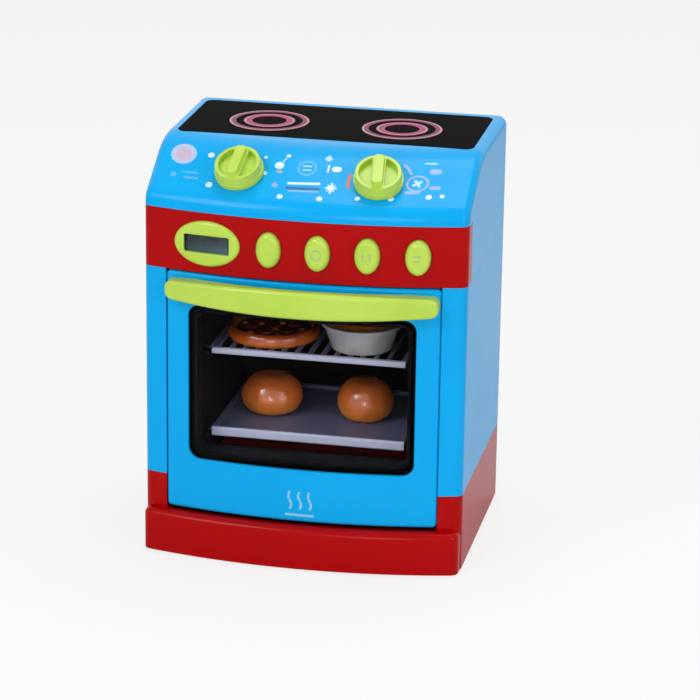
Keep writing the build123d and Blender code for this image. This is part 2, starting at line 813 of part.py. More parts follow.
with BuildPart() as top_housing:
    add(housing_blank(0, back_y))
    add(housing_blank(wall, back_y + 1), mode=Mode.SUBTRACT)
    # The fascia band fills this part of the front.
    with Locations((0, band_return_y - body_depth / 2, band_bottom + band_height / 2)):
        Box(width + 2, body_depth, band_height, mode=Mode.SUBTRACT)
    # Deck under the hob sheet, and the recess the sheet drops into.
    with BuildSketch(Plane.XY.offset(hob_seat - wall)):
        with Locations((0, hob_y)):
            Rectangle(hob_width + 2 * hob_deck_margin, hob_depth + 2 * hob_deck_margin)
    extrude(amount=wall)
    with BuildSketch(Plane.XY.offset(hob_seat)):
        with Locations((0, hob_y)):
            RectangleRounded(hob_width + 2 * seat_gap, hob_depth + 2 * seat_gap, corner_radius)
    extrude(amount=2 * hob_thickness, mode=Mode.SUBTRACT)
    # Shaft bosses and clicker posts under the knobs.
    for knob_plane in knob_planes.values():
        with BuildSketch(knob_plane.offset(-boss_end)):
            Circle(shaft_boss_radius)
        extrude(amount=boss_end - wall / 2)
        with BuildSketch(knob_plane.offset(-ratchet_level - ratchet_thickness)):
            with Locations((clicker_post_x, clicker_post_y)):
                Circle(clicker_post_radius)
        extrude(amount=ratchet_level + ratchet_thickness - wall / 2)
        with BuildSketch(knob_plane.offset(-boss_end)):
            Circle(shaft_radius + shaft_clearance)
        extrude(amount=2 * boss_end, mode=Mode.SUBTRACT)
    # Screw bosses for the rear cover.
    for side in (-1, 1):
        with BuildSketch(front_plane(rear_cover_y)):
            with Locations((side * rear_boss_x, housing_boss_height)):
                Circle(rear_boss_radius)
        extrude(amount=rear_boss_length)
        with BuildSketch(front_plane(rear_cover_y)):
            with Locations((side * rear_boss_x, housing_boss_height)):
                Circle(screw_radius)
        extrude(amount=rear_boss_length - 2, mode=Mode.SUBTRACT)
top_housing.part.label = "top_housing"
export_step(top_housing.part, "parts/top_housing.step")

with BuildPart() as hob_sheet:
    with BuildSketch(Plane.XY.offset(hob_seat)):
        with Locations((0, hob_y)):
            RectangleRounded(hob_width, hob_depth, corner_radius - seat_gap)
    extrude(amount=hob_thickness)
    hob_top = hob_seat + hob_thickness
    burner_y = hob_front_y + burner_back
    burner_places = [(-burner_spacing / 2, burner_y), (burner_spacing / 2, burner_y)]
    with BuildSketch(Plane.XY.offset(hob_top + ring_proud - ring_thickness)):
        with Locations(*burner_places):
            for radius, ring_width in (
                (outer_ring_radius, outer_ring_width),
                (inner_ring_radius, inner_ring_width),
            ):
                Circle(radius)
                Circle(radius - ring_width, mode=Mode.SUBTRACT)
    extrude(amount=hob_thickness, mode=Mode.SUBTRACT)
hob_sheet.part.label = "hob_sheet"
export_step(hob_sheet.part, "parts/hob_sheet.step")

for side_name, place in zip(("left", "right"), burner_places):
    with BuildPart() as burner_rings:
        with BuildSketch(Plane.XY.offset(hob_top + ring_proud - ring_thickness)):
            with Locations(place):
                Circle(outer_ring_radius)
                Circle(outer_ring_radius - outer_ring_width, mode=Mode.SUBTRACT)
                Circle(inner_ring_radius)
                Circle(inner_ring_radius - inner_ring_width, mode=Mode.SUBTRACT)
        extrude(amount=ring_thickness)
    burner_rings.part.label = f"{side_name}_burner_rings"
    export_step(burner_rings.part, f"parts/{side_name}_burner_rings.step")

# Knobs: skirt, rim, pockets each side of a grip bar, and the shaft.
for side_name, knob_plane in knob_planes.items():
    with BuildPart() as knob:
        with BuildSketch(knob_plane.offset(moving_gap)):
            Circle(knob_radius)
        extrude(amount=knob_skirt)
        with BuildSketch(knob_plane.offset(moving_gap + knob_skirt)):
            Circle(knob_radius - knob_skirt_step)
        extrude(amount=knob_rim_height - knob_skirt, taper=4)
        with BuildSketch(knob_plane.offset(moving_gap + knob_rim_height - knob_pocket_depth)):
            Circle(knob_pocket_radius)
            Rectangle(knob_grip_width, 4 * knob_radius, mode=Mode.SUBTRACT)
        extrude(amount=2 * knob_rim_height, mode=Mode.SUBTRACT)
        with BuildSketch(knob_plane.offset(moving_gap + knob_rim_height - knob_pocket_depth / 2)):
            RectangleRounded(knob_grip_width - 1, 2 * knob_pocket_radius, knob_grip_width / 3)
        extrude(amount=knob_grip_height - knob_rim_height + knob_pocket_depth / 2, taper=6)
        with BuildSketch(knob_plane.offset(moving_gap)):
            Circle(shaft_radius)
        extrude(amount=-(ratchet_level + ratchet_thickness + moving_gap))
        with BuildSketch(knob_plane.offset(-ratchet_level - ratchet_thickness)):
            Circle(pilot_radius)
        extrude(amount=knob_screw_length + 1, mode=Mode.SUBTRACT)
    knob.part.label = f"{side_name}_knob"
    export_step(knob.part, f"parts/{side_name}_knob.step")

    with BuildPart() as ratchet:
        with BuildSketch(knob_plane.offset(-ratchet_level - ratchet_thickness)):
            Circle(ratchet_radius)
            with PolarLocations(ratchet_radius + ratchet_tooth / 3, ratchet_teeth):
                Circle(ratchet_tooth, mode=Mode.SUBTRACT)
            Circle(shaft_radius, mode=Mode.SUBTRACT)
        extrude(amount=ratchet_thickness)
    ratchet.part.label = f"{side_name}_knob_ratchet"
    export_step(ratchet.part, f"parts/{side_name}_knob_ratchet.step")

    with BuildPart() as knob_screw:
        screw_place = knob_plane.offset(-ratchet_level - ratchet_thickness)
        flipped = Plane(screw_place.origin, x_dir=screw_place.x_dir, z_dir=-screw_place.z_dir)
        with BuildSketch(flipped):
            Circle(shaft_radius + knob_screw_lap)
        extrude(amount=screw_head_height)
        with BuildSketch(flipped):
            Circle(pilot_radius - screw_shank_gap)
        extrude(amount=-knob_screw_length)
    knob_screw.part.label = f"{side_name}_knob_screw"
    export_step(knob_screw.part, f"parts/{side_name}_knob_screw.step")

with BuildPart() as knob_clickers:
    for knob_plane in knob_planes.values():
        with BuildSketch(knob_plane.offset(-ratchet_level - ratchet_thickness)):
            with Locations((0, clicker_y + clicker_thickness / 2)):
                Rectangle(clicker_length, clicker_thickness)
        extrude(amount=ratchet_thickness)
knob_clickers.part.label = "knob_clickers"
export_step(knob_clickers.part, "parts/knob_clickers.step")

# ================= Fascia band, clock and buttons =================

button_xs = [button_first_x + button_pitch * index for index in range(button_count)]
post_x = board_width / 2 - board_screw_inset
post_z = board_height / 2 - board_screw_drop
post_places = [(x, band_middle + z) for x in (-post_x, post_x) for z in (-post_z, post_z)]

with BuildPart() as fascia_band:
    with BuildSketch(Plane.XY.offset(band_bottom)):
        add(plan_outline(rear_y=band_return_y))
        add(plan_outline(inset=wall, rear_y=band_return_y + 1), mode=Mode.SUBTRACT)
    extrude(amount=band_height)
    with BuildSketch(Plane.XY.offset(band_bottom)):
        add(plan_outline(inset=wall / 2, rear_y=band_return_y))
    extrude(amount=band_floor)
    # Tongue that locates the top housing.
    for low, outer_inset in ((band_top - band_tongue_height, wall / 2), (band_top, wall + seat_gap)):
        with BuildSketch(Plane.XY.offset(low)):
            add(plan_outline(inset=outer_inset, rear_y=band_return_y))
            add(
                plan_outline(inset=wall + seat_gap + band_tongue, rear_y=band_return_y + 1),
                mode=Mode.SUBTRACT,
            )
        extrude(amount=band_tongue_height)
    # Posts for the circuit board.
    with BuildSketch(front_plane(board_y)):
        with Locations(*post_places):
            Circle(post_radius)
    extrude(amount=board_y - front_y(post_x, wall / 2))
    with BuildSketch(front_plane(board_y)):
        with Locations(*post_places):
            Circle(screw_radius)
    extrude(amount=board_screw_length, mode=Mode.SUBTRACT)
    # Openings for the clock and the buttons.
    clock_hole = front_ellipse(
        clock_x,
        band_middle,
        clock_width - 2 * clock_plug_margin,
        clock_height - 2 * clock_plug_margin,
    )
    add(front_prism(clock_hole, -wall, board_y), mode=Mode.SUBTRACT)
    for x in button_xs:
        button_hole = front_ellipse(
            x, band_middle, button_width + 2 * moving_gap, button_height + 2 * moving_gap
        )
        add(front_prism(button_hole, -wall, board_y), mode=Mode.SUBTRACT)
fascia_band.part.label = "fascia_band"
export_step(fascia_band.part, "parts/fascia_band.step")

# Clock: oval bezel plugged into the band, clear lens behind it, display on the board.
clock_low = band_middle - clock_opening_height / 2
clock_high = band_middle + clock_opening_height / 2


def clock_rectangle(margin):
    return front_rectangle(
        clock_x,
        clock_low - margin,
        clock_high + margin,
        clock_opening_width + 2 * margin,
        clock_corner,
    )


with BuildPart() as clock_bezel:
    add(front_sheet(front_ellipse(clock_x, band_middle, clock_width, clock_height), -clock_proud, 0))
    fillet(clock_bezel.faces().sort_by(Axis.Y)[0].edges(), clock_round)
    clock_plug = front_ellipse(
        clock_x,
        band_middle,
        clock_width - 2 * clock_plug_margin - 2 * seat_gap,
        clock_height - 2 * clock_plug_margin - 2 * seat_gap,
    )
    add(front_sheet(clock_plug, lens_front, wall + clock_plug_reach))
    add(front_prism(clock_rectangle(0), -2 * clock_proud, board_y), mode=Mode.SUBTRACT)
    add(front_sheet(clock_rectangle(lens_rim), lens_front, 2 * wall), mode=Mode.SUBTRACT)
clock_bezel.part.label = "clock_bezel"
export_step(clock_bezel.part, "parts/clock_bezel.step")

with BuildPart() as clock_lens:
    lens_back = lens_front + clock_lens_thickness
    add(front_sheet(clock_rectangle(lens_rim - lens_gap), lens_front, lens_back))
clock_lens.part.label = "clock_lens"
export_step(clock_lens.part, "parts/clock_lens.step")

with BuildPart() as clock_display:
    add(front_prism(clock_rectangle(lens_rim - display_gap), lens_back, board_y))
clock_display.part.label = "clock_display"
export_step(clock_display.part, "parts/clock_display.step")

with BuildPart() as circuit_board:
    with BuildSketch(front_plane(board_y + board_thickness)):
        with Locations((0, band_middle)):
            Rectangle(board_width, board_height)
        with Locations(*post_places):
            Circle(screw_radius + screw_hole_gap, mode=Mode.SUBTRACT)
    extrude(amount=board_thickness)
    with BuildSketch(front_plane(board_y + board_thickness)):
        with Locations((chip_x, band_middle)):
            Circle(chip_radius)
    extrude(amount=-chip_height, taper=30)
circuit_board.part.label = "circuit_board"
export_step(circuit_board.part, "parts/circuit_board.step")

with BuildPart() as board_screws:
    for x, z in post_places:
        add(Plane((x, board_y + board_thickness, z), z_dir=(0, 1, 0)) * pan_head_screw(board_screw_length))
board_screws.part.label = "board_screws"
export_step(board_screws.part, "parts/board_screws.step")

with BuildPart() as button_pad:
    with BuildSketch(front_plane(board_y)):
        with Locations(((button_xs[0] + button_xs[-1]) / 2, band_middle)):
            RectangleRounded(button_xs[-1] - button_xs[0] + 2 * pad_margin, 2 * pad_margin, dome_radius)
    extrude(amount=pad_thickness)
    with BuildSketch(front_plane(board_y - pad_thickness)):
        with Locations(*[(x, band_middle) for x in button_xs]):
            Circle(dome_radius)
    extrude(amount=dome_height, taper=20)
button_pad.part.label = "button_pad"
export_step(button_pad.part, "parts/button_pad.step")

# Buttons: oval caps kept in by a flange behind the band, each with a stem over its dome.
flange_back = wall + flange_gap + button_flange_thickness
stem_end_y = board_y - pad_thickness - dome_height - flange_gap - button_travel

for number, x in enumerate(button_xs, start=1):
    with BuildPart() as button:
        cap = front_ellipse(x, band_middle, button_width, button_height)
        add(front_sheet(cap, -button_proud, flange_back))
        fillet(button.faces().sort_by(Axis.Y)[0].edges(), button_round)
        flange = front_ellipse(
            x, band_middle, button_width + 2 * button_flange, button_height + 2 * button_flange
        )
        add(front_sheet(flange, wall + flange_gap, flange_back))
        with BuildSketch(front_plane(stem_end_y)):
            with Locations((x, band_middle)):
                Circle(stem_radius)
        extrude(amount=stem_end_y - front_y(x, wall))
    button.part.label = f"button_{number}"
    export_step(button.part, f"parts/button_{number}.step")

# ================= Back of the oven =================

rear_cover_low = seam_height + seat_gap
rear_cover_high = total_height - wall - seat_gap
rear_cover_half = half_width - wall - seat_gap
cover_screw_places = [
    (side * rear_boss_x, height)
    for side in (-1, 1)
    for height in cabinet_boss_heights + (housing_boss_height,)
]
cone_radius = speaker_radius - cone_inset
grille_rows = int(cone_radius // grille_pitch)
grille_places = [
    (speaker_x + column * grille_pitch, speaker_height + row * grille_pitch)
    for column in range(-grille_rows, grille_rows + 1)
    for row in range(-grille_rows, grille_rows + 1)
    if sqrt(column**2 + row**2) * grille_pitch < cone_radius
]

with BuildPart() as rear_cover:
    with BuildSketch(front_plane(back_y)):
        with Locations((0, (rear_cover_low + rear_cover_high) / 2)):
            RectangleRounded(2 * rear_cover_half, rear_cover_high - rear_cover_low, rear_cover_corner)
        with Locations(*grille_places):
            Circle(grille_hole, mode=Mode.SUBTRACT)
    extrude(amount=wall)
    with BuildSketch(front_plane(rear_cover_y)):
        with Locations((speaker_x, speaker_height)):
            Circle(speaker_radius + seat_gap + speaker_ring_wall)
            Circle(speaker_radius + seat_gap, mode=Mode.SUBTRACT)
    extrude(amount=speaker_rim)
    for x, z in cover_screw_places:
        with Locations(Plane((x, back_y, z), z_dir=(0, 1, 0))):
            screw_countersink()
rear_cover.part.label = "rear_cover"
export_step(rear_cover.part, "parts/rear_cover.step")

with BuildPart() as rear_cover_screws:
    for x, z in cover_screw_places:
        add(Plane((x, back_y, z), z_dir=(0, 1, 0)) * countersunk_screw(rear_screw_length))
rear_cover_screws.part.label = "rear_cover_screws"
export_step(rear_cover_screws.part, "parts/rear_cover_screws.step")


def speaker_solid(points):
    # Turned shape on the loudspeaker's axis; points are (radius, depth behind the cover).
    with BuildPart(mode=Mode.PRIVATE) as turned:
        with BuildSketch(Plane.XY):
            with BuildLine():
                outline = [(speaker_x + radius, rear_cover_y - depth) for radius, depth in points]
                Polyline(*outline, close=True)
            make_face()
        revolve(axis=Axis((speaker_x, 0, 0), (0, 1, 0)))
    return Pos(0, 0, speaker_height) * turned.part


with BuildPart() as speaker:
    add(speaker_solid([
        (speaker_radius, 0),
        (speaker_radius, speaker_rim),
        (cone_radius + basket_wall, speaker_rim),
        (magnet_radius + basket_wall, basket_depth),
        (magnet_radius, basket_depth),
        (magnet_radius, basket_depth + magnet_length),
        (0, basket_depth + magnet_length),
        (0, basket_depth - basket_wall),
        (magnet_radius, basket_depth - basket_wall),
        (cone_radius, 2 * cone_thickness),
        (cone_radius, 0),
    ]))
speaker.part.label = "speaker"
export_step(speaker.part, "parts/speaker.step")

with BuildPart() as speaker_cone:
    add(speaker_solid([
        (cone_radius, 0),
        (cone_radius, cone_thickness),
        (dust_cap_radius, cone_depth + cone_thickness),
        (0, cone_depth - dust_cap_rise + cone_thickness),
        (0, cone_depth - dust_cap_rise),
        (dust_cap_radius, cone_depth),
        (cone_radius - cone_thickness, 0),
    ]))
speaker_cone.part.label = "speaker_cone"
export_step(speaker_cone.part, "parts/speaker_cone.step")

# Lamp: a light-emitting diode through the roof of the oven.
lamp_tip = cavity_top - lamp_below_roof
lamp_end = cavity_top + liner_wall + lamp_above_roof

with BuildPart() as oven_lamp:
    with Locations((0, lamp_y, lamp_tip)):
        Cylinder(lamp_radius, lamp_end - lamp_tip, align=(Align.CENTER, Align.CENTER, Align.MIN))
    fillet(oven_lamp.edges().group_by(Axis.Z)[0], 0.88 * lamp_radius)
    with Locations((0, lamp_y, cavity_top + liner_wall)):
        Cylinder(lamp_radius + lamp_flange, 1.0, align=(Align.CENTER, Align.CENTER, Align.MIN))
oven_lamp.part.label = "oven_lamp"
export_step(oven_lamp.part, "parts/oven_lamp.step")


def wire(points):
    # A round lead that follows the points, rounded at each corner.
    with BuildPart(mode=Mode.PRIVATE) as lead:
        with BuildLine():
            path = FilletPolyline(*points, radius=wire_bend)
        with BuildSketch(Plane(path @ 0, z_dir=path % 0)):
            Circle(wire_radius)
        sweep(path=path)
    return lead.part


board_rear_y = board_y + board_thickness
over_liner = band_bottom + wire_rise

with BuildPart() as battery_leads:
    for x in (-battery_wire_x, battery_wire_x):
        add(wire([
            (x, battery_y, box_top),
            (x, battery_y, box_top + 2 * wire_rise),
            (x, wire_slot_y, box_top + 2 * wire_rise),
            (x, wire_slot_y, over_liner),
            (x, board_rear_y, over_liner),
        ]))
battery_leads.part.label = "battery_leads"
export_step(battery_leads.part, "parts/battery_leads.step")

with BuildPart() as speaker_leads:
    for x in (speaker_x - speaker_wire_x, speaker_x + speaker_wire_x):
        magnet_y = rear_cover_y - basket_depth - magnet_length
        bend_y = magnet_y - speaker_wire_drop
        add(wire([
            (x, magnet_y, speaker_height),
            (x, bend_y, speaker_height),
            (x, bend_y, speaker_height - speaker_wire_drop),
            (x, board_rear_y, speaker_height - speaker_wire_drop),
        ]))
speaker_leads.part.label = "speaker_leads"
export_step(speaker_leads.part, "parts/speaker_leads.step")

with BuildPart() as lamp_leads:
    for x in (-lamp_wire_x, lamp_wire_x):
        add(wire([
            (x, lamp_y, lamp_end),
            (x, lamp_y, lamp_end + wire_rise),
            (x, board_rear_y, lamp_end + wire_rise),
        ]))
lamp_leads.part.label = "lamp_leads"
export_step(lamp_leads.part, "parts/lamp_leads.step")

# ================= Racks and play food =================

rack_y = corner_y + rack_front
rack_rear_y = cavity_back_y - rack_rear_room
rack_depth = rack_rear_y - rack_y
rack_middle_y = (rack_y + rack_rear_y) / 2
tongue_front_y = door_back_y + rack_travel + 4 * moving_gap
tongue_half = cavity_half - tongue_clearance
bar_pitch = (rack_width - 2 * rail_depth) / (rack_bar_count + 1)
rail_height = rack_thickness + rail_drop


def rack_tongues():
    # Plan areas of the side tongues that ride between the runners.
    tongue_width = tongue_half - rack_width / 2 + rail_depth / 2
    with BuildSketch(mode=Mode.PRIVATE) as tongues:
        for side in (-1, 1):
            tongue_x = side * (tongue_half - tongue_width / 2)
            with Locations((tongue_x, (tongue_front_y + rack_rear_y) / 2)):
                Rectangle(tongue_width, rack_rear_y - tongue_front_y)
    return tongues.sketch


with BuildPart() as upper_rack:
    with BuildSketch(Plane.XY.offset(upper_rack_height)):
        with Locations((0, rack_middle_y)):
            Rectangle(rack_width, rack_depth)
            Rectangle(rack_width - 2 * rail_depth, rack_depth - 2 * rail_depth, mode=Mode.SUBTRACT)
            with GridLocations(bar_pitch, 1, rack_bar_count, 1):
                Rectangle(rack_bar, rack_depth - rail_depth)
        add(rack_tongues())
    extrude(amount=rack_thickness)
    for y in (rack_y + rail_depth / 2, rack_rear_y - rail_depth / 2):
        with Locations((0, y, upper_rack_height - rail_drop + rail_height / 2)):
            Box(rack_width, rail_depth, rail_height)
    fillet(upper_rack.edges().filter_by(Axis.X).group_by(Axis.Y)[0], rail_round)
upper_rack.part.label = "upper_rack"
export_step(upper_rack.part, "parts/upper_rack.step")

with BuildPart() as lower_tray:
    with BuildSketch(Plane.XY.offset(lower_rack_height)):
        with Locations((0, rack_middle_y)):
            Rectangle(rack_width, rack_depth)
        add(rack_tongues())
    extrude(amount=rack_thickness)
    with BuildSketch(Plane.XY.offset(lower_rack_height + rack_thickness)):
        with Locations((0, rack_middle_y)):
            Rectangle(rack_width, rack_depth)
            Rectangle(rack_width - 2 * rail_depth, rack_depth - 2 * rail_depth, mode=Mode.SUBTRACT)
    extrude(amount=tray_lip)
    with Locations((0, rack_y + rail_depth / 2, lower_rack_height + rack_thickness / 2 - rail_drop / 2)):
        Box(rack_width, rail_depth, rack_thickness + rail_drop)
    fillet(lower_tray.edges().filter_by(Axis.X).group_by(Axis.Y)[0], rail_round)
lower_tray.part.label = "lower_tray"
export_step(lower_tray.part, "parts/lower_tray.step")

rack_top = upper_rack_height + rack_thickness
tray_top = lower_rack_height + rack_thickness

with BuildPart() as pizza:
    with Locations((pizza_x, corner_y + pizza_back, rack_top)):
        Cylinder(pizza_radius, pizza_height, align=(Align.CENTER, Align.CENTER, Align.MIN))
    fillet(pizza.edges().group_by(Axis.Z)[-1], pizza_round)
    fillet(pizza.edges().group_by(Axis.Z)[0], pizza_base_round)
    with Locations((pizza_x, corner_y + pizza_back, rack_top + pizza_height)):
        Cylinder(pizza_radius - pizza_crust, 2 * pizza_topping_drop, mode=Mode.SUBTRACT)
    fillet(pizza.edges().group_by(Axis.Z)[-1], pizza_inner_round)
pizza.part.label = "pizza"
export_step(pizza.part, "parts/pizza.step")

with BuildPart() as pie_dish:
    with Locations((pie_x, corner_y + pie_back, rack_top)):
        Cone(
            dish_bottom_radius,
            dish_top_radius - dish_rim_reach,
            dish_height,
            align=(Align.CENTER, Align.CENTER, Align.MIN),
        )
    with Locations((pie_x, corner_y + pie_back, rack_top + dish_height)):
        Cylinder(dish_top_radius, dish_rim_height, align=(Align.CENTER, Align.CENTER, Align.MAX))
    with Locations((pie_x, corner_y + pie_back, rack_top + dish_wall)):
        Cone(
            dish_bottom_radius - dish_wall,
            dish_top_radius - dish_rim_reach - dish_wall,
            dish_height,
            align=(Align.CENTER, Align.CENTER, Align.MIN),
            mode=Mode.SUBTRACT,
        )
pie_dish.part.label = "pie_dish"
export_step(pie_dish.part, "parts/pie_dish.step")

with BuildPart() as pie:
    dish_slope = (dish_top_radius - dish_rim_reach - dish_bottom_radius) / dish_height
    pie_bottom = dish_bottom_radius - dish_wall
    pie_edge_height = dish_height - pie_drop
    pie_edge = pie_bottom + dish_slope * (pie_edge_height - dish_wall)
    pie_top = pie_edge_height + pie_dome
    with BuildSketch(upright_plane(pie_x, corner_y + pie_back, rack_top)):
        with BuildLine():
            Polyline((0, pie_top), (0, dish_wall), (pie_bottom, dish_wall), (pie_edge, pie_edge_height))
            TangentArc((0, pie_top), (pie_edge, pie_edge_height), tangent=(1, 0))
        make_face()
    revolve(axis=Axis((pie_x, corner_y + pie_back, rack_top), (0, 0, 1)))
pie.part.label = "pie"
export_step(pie.part, "parts/pie.step")

roll_places = {"left": (left_roll_x, left_roll_radius, left_roll_height),
               "right": (right_roll_x, right_roll_radius, right_roll_height)}

for side_name, (x, radius, height) in roll_places.items():
    with BuildPart() as roll:
        with BuildSketch(upright_plane(x, corner_y + roll_back, tray_top)):
            with BuildLine():
                Spline(
                    (roll_base * radius, 0),
                    (radius, roll_waist * height),
                    (0, height),
                    tangents=[(1, 0.4), (-1, 0)],
                )
                Polyline((0, height), (0, 0), (roll_base * radius, 0))
            make_face()
        revolve(axis=Axis((x, corner_y + roll_back, tray_top), (0, 0, 1)))
    roll.part.label = f"{side_name}_roll"
    export_step(roll.part, f"parts/{side_name}_roll.step")

# ================= Door =================

def door_rectangle(margin, low=door_bottom, high=door_top, across=door_width, radius=door_corner):
    return front_rectangle(0, low + margin, high - margin, across - 2 * margin, radius)


window_outline = (window_bottom, window_top, window_width, window_corner)
frame_outline = (
    window_bottom + frame_border,
    window_top - frame_border,
    window_width - 2 * frame_border,
    frame_corner,
)
frame_plate_y = door_back_y - frame_plate_thickness
door_screw_places = [(side * frame_post_x, z) for side in (-1, 1) for z in frame_post_heights]
handle_screw_places = [(side * handle_screw_x, handle_centre_height) for side in (-1, 1)]
handle_boss_y = front_y(handle_screw_x, wall) + handle_boss_rise

with BuildPart() as door_shell:
    add(front_prism(door_rectangle(0), 0, door_back_y))
    front_edges = door_shell.faces().filter_by(lambda face: face.normal_at().Y < -0.9).edges()
    fillet(front_edges, door_edge_round)
    add(front_prism(door_rectangle(wall, radius=door_corner / 2), wall, door_back_y + 1), mode=Mode.SUBTRACT)
    add(front_prism(door_rectangle(0, *window_outline), -wall, door_back_y), mode=Mode.SUBTRACT)
    # Posts for the inner frame, and flat bosses under the handle's screws.
    with BuildSketch(front_plane(frame_plate_y)):
        with Locations(*door_screw_places):
            Circle(boss_radius)
    extrude(amount=frame_plate_y - front_y(frame_post_x, wall / 2))
    with BuildSketch(front_plane(handle_boss_y)):
        with Locations(*handle_screw_places):
            Circle(boss_radius)
    extrude(amount=handle_boss_y - front_y(handle_screw_x, wall / 2))
    with BuildSketch(front_plane(frame_plate_y)):
        with Locations(*door_screw_places):
            Circle(screw_radius)
    extrude(amount=door_screw_length - frame_plate_thickness + 1, mode=Mode.SUBTRACT)
    with BuildSketch(front_plane(door_back_y)):
        with Locations(*handle_screw_places):
            Circle(screw_radius + screw_hole_gap)
    extrude(amount=2 * (door_back_y - bow_y), mode=Mode.SUBTRACT)
    # Bosses and bores for the hinge pins.
    for side in (-1, 1):
        pin_end = side * (door_half - hinge_pin_in_door)
        inner_plane = Plane((pin_end, hinge_y, hinge_height), x_dir=(0, 1, 0), z_dir=(side, 0, 0))
        with BuildSketch(inner_plane.offset(-boss_end_wall)):
            Circle(boss_radius)
        extrude(amount=hinge_pin_in_door + boss_end_wall - wall / 2)
        with BuildSketch(inner_plane):
            Circle(hinge_pin_radius)
        extrude(amount=2 * hinge_pin_in_door, mode=Mode.SUBTRACT)
door_shell.part.label = "door_shell"
export_step(door_shell.part, "parts/door_shell.step")

with BuildPart() as hinge_pins:
    for side in (-1, 1):
        pin_end = side * (door_half - hinge_pin_in_door)
        with BuildSketch(Plane((pin_end, hinge_y, hinge_height), x_dir=(0, 1, 0), z_dir=(side, 0, 0))):
            Circle(hinge_pin_radius)
        extrude(amount=hinge_pin_length)
hinge_pins.part.label = "hinge_pins"
export_step(hinge_pins.part, "parts/hinge_pins.step")

with BuildPart() as door_window:
    pane_outline = (window_bottom, window_top, window_width, window_corner + window_overlap)
    add(front_sheet(door_rectangle(-window_overlap, *pane_outline), wall, wall + pane_thickness))
door_window.part.label = "door_window"
export_step(door_window.part, "parts/door_window.step")

# Inner frame: a plate screwed into the back of the door, with a collar that holds the pane.
with BuildPart() as door_inner_frame:
    with BuildSketch(front_plane(door_back_y)):
        add(door_rectangle(wall + seat_gap, radius=door_corner / 2 - seat_gap))
    extrude(amount=frame_plate_thickness)
    collar = door_rectangle(-frame_collar, *frame_outline)
    add(front_prism(collar, wall + pane_thickness, door_back_y))
    add(front_prism(door_rectangle(0, *frame_outline), -wall, door_back_y + 1), mode=Mode.SUBTRACT)
    for x, z in door_screw_places:
        with Locations(Plane((x, door_back_y, z), z_dir=(0, 1, 0))):
            screw_countersink()
door_inner_frame.part.label = "door_inner_frame"
export_step(door_inner_frame.part, "parts/door_inner_frame.step")

with BuildPart() as door_screws:
    for x, z in door_screw_places:
        add(Plane((x, door_back_y, z), z_dir=(0, 1, 0)) * countersunk_screw(door_screw_length))
door_screws.part.label = "door_screws"
export_step(door_screws.part, "parts/door_screws.step")

# Handle: a bar bowed more than the door, with a finger gap behind it.
with BuildPart() as door_handle:
    handle_end_y = front_y(handle_half) - handle_end_reach
    with BuildSketch(Plane.XY.offset(handle_centre_height - handle_height / 2)):
        with BuildLine():
            ThreePointArc(
                (-handle_half, handle_end_y), (0, bow_y - handle_reach), (handle_half, handle_end_y)
            )
            Line((handle_half, handle_end_y), (handle_half, front_y(handle_half)))
            ThreePointArc(
                (handle_half, front_y(handle_half)), (0, bow_y), (-handle_half, front_y(handle_half))
            )
            Line((-handle_half, front_y(handle_half)), (-handle_half, handle_end_y))
        make_face()
        with BuildLine():
            gap_left = (-handle_gap_half, front_y(handle_gap_half))
            gap_right = (handle_gap_half, front_y(handle_gap_half))
            ThreePointArc(gap_left, (0, bow_y - handle_reach + handle_grip), gap_right)
            Polyline(gap_right, (handle_gap_half, back_y), (-handle_gap_half, back_y), gap_left)
        make_face(mode=Mode.SUBTRACT)
    extrude(amount=handle_height)
    # Seen from the front it is taller in the middle than at its ends.
    with BuildSketch(front_plane(bow_y + body_depth / 2)):
        with BuildLine():
            high_end = handle_centre_height + handle_end_height / 2
            low_end = handle_centre_height - handle_end_height / 2
            high_middle = (0, handle_centre_height + handle_height / 2)
            low_middle = (0, handle_centre_height - handle_height / 2)
            ThreePointArc((-handle_half, high_end), high_middle, (handle_half, high_end))
            Line((handle_half, high_end), (handle_half, low_end))
            ThreePointArc((handle_half, low_end), low_middle, (-handle_half, low_end))
            Line((-handle_half, low_end), (-handle_half, high_end))
        shape = make_face()
        fillet(shape.vertices(), handle_end_round)
    extrude(amount=body_depth, mode=Mode.INTERSECT)
    front_face = door_handle.faces().filter_by(lambda face: face.normal_at().Y < -0.9).sort_by(Axis.Y)[0]
    fillet(front_face.edges(), handle_round)
    with BuildSketch(front_plane(bow_y + body_depth / 2)):
        with Locations(*handle_screw_places):
            Circle(screw_radius)
    extrude(amount=bow_y + body_depth / 2 - front_y(handle_screw_x) + handle_screw_bite, mode=Mode.SUBTRACT)
door_handle.part.label = "door_handle"
export_step(door_handle.part, "parts/door_handle.step")

with BuildPart() as handle_screws:
    for x, z in handle_screw_places:
        add(Plane((x, handle_boss_y, z), z_dir=(0, 1, 0)) * pan_head_screw(handle_screw_length))
handle_screws.part.label = "handle_screws"
export_step(handle_screws.part, "parts/handle_screws.step")
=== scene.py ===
import math

import bpy
from mathutils import Matrix, Vector, noise
from mathutils.bvhtree import BVHTree


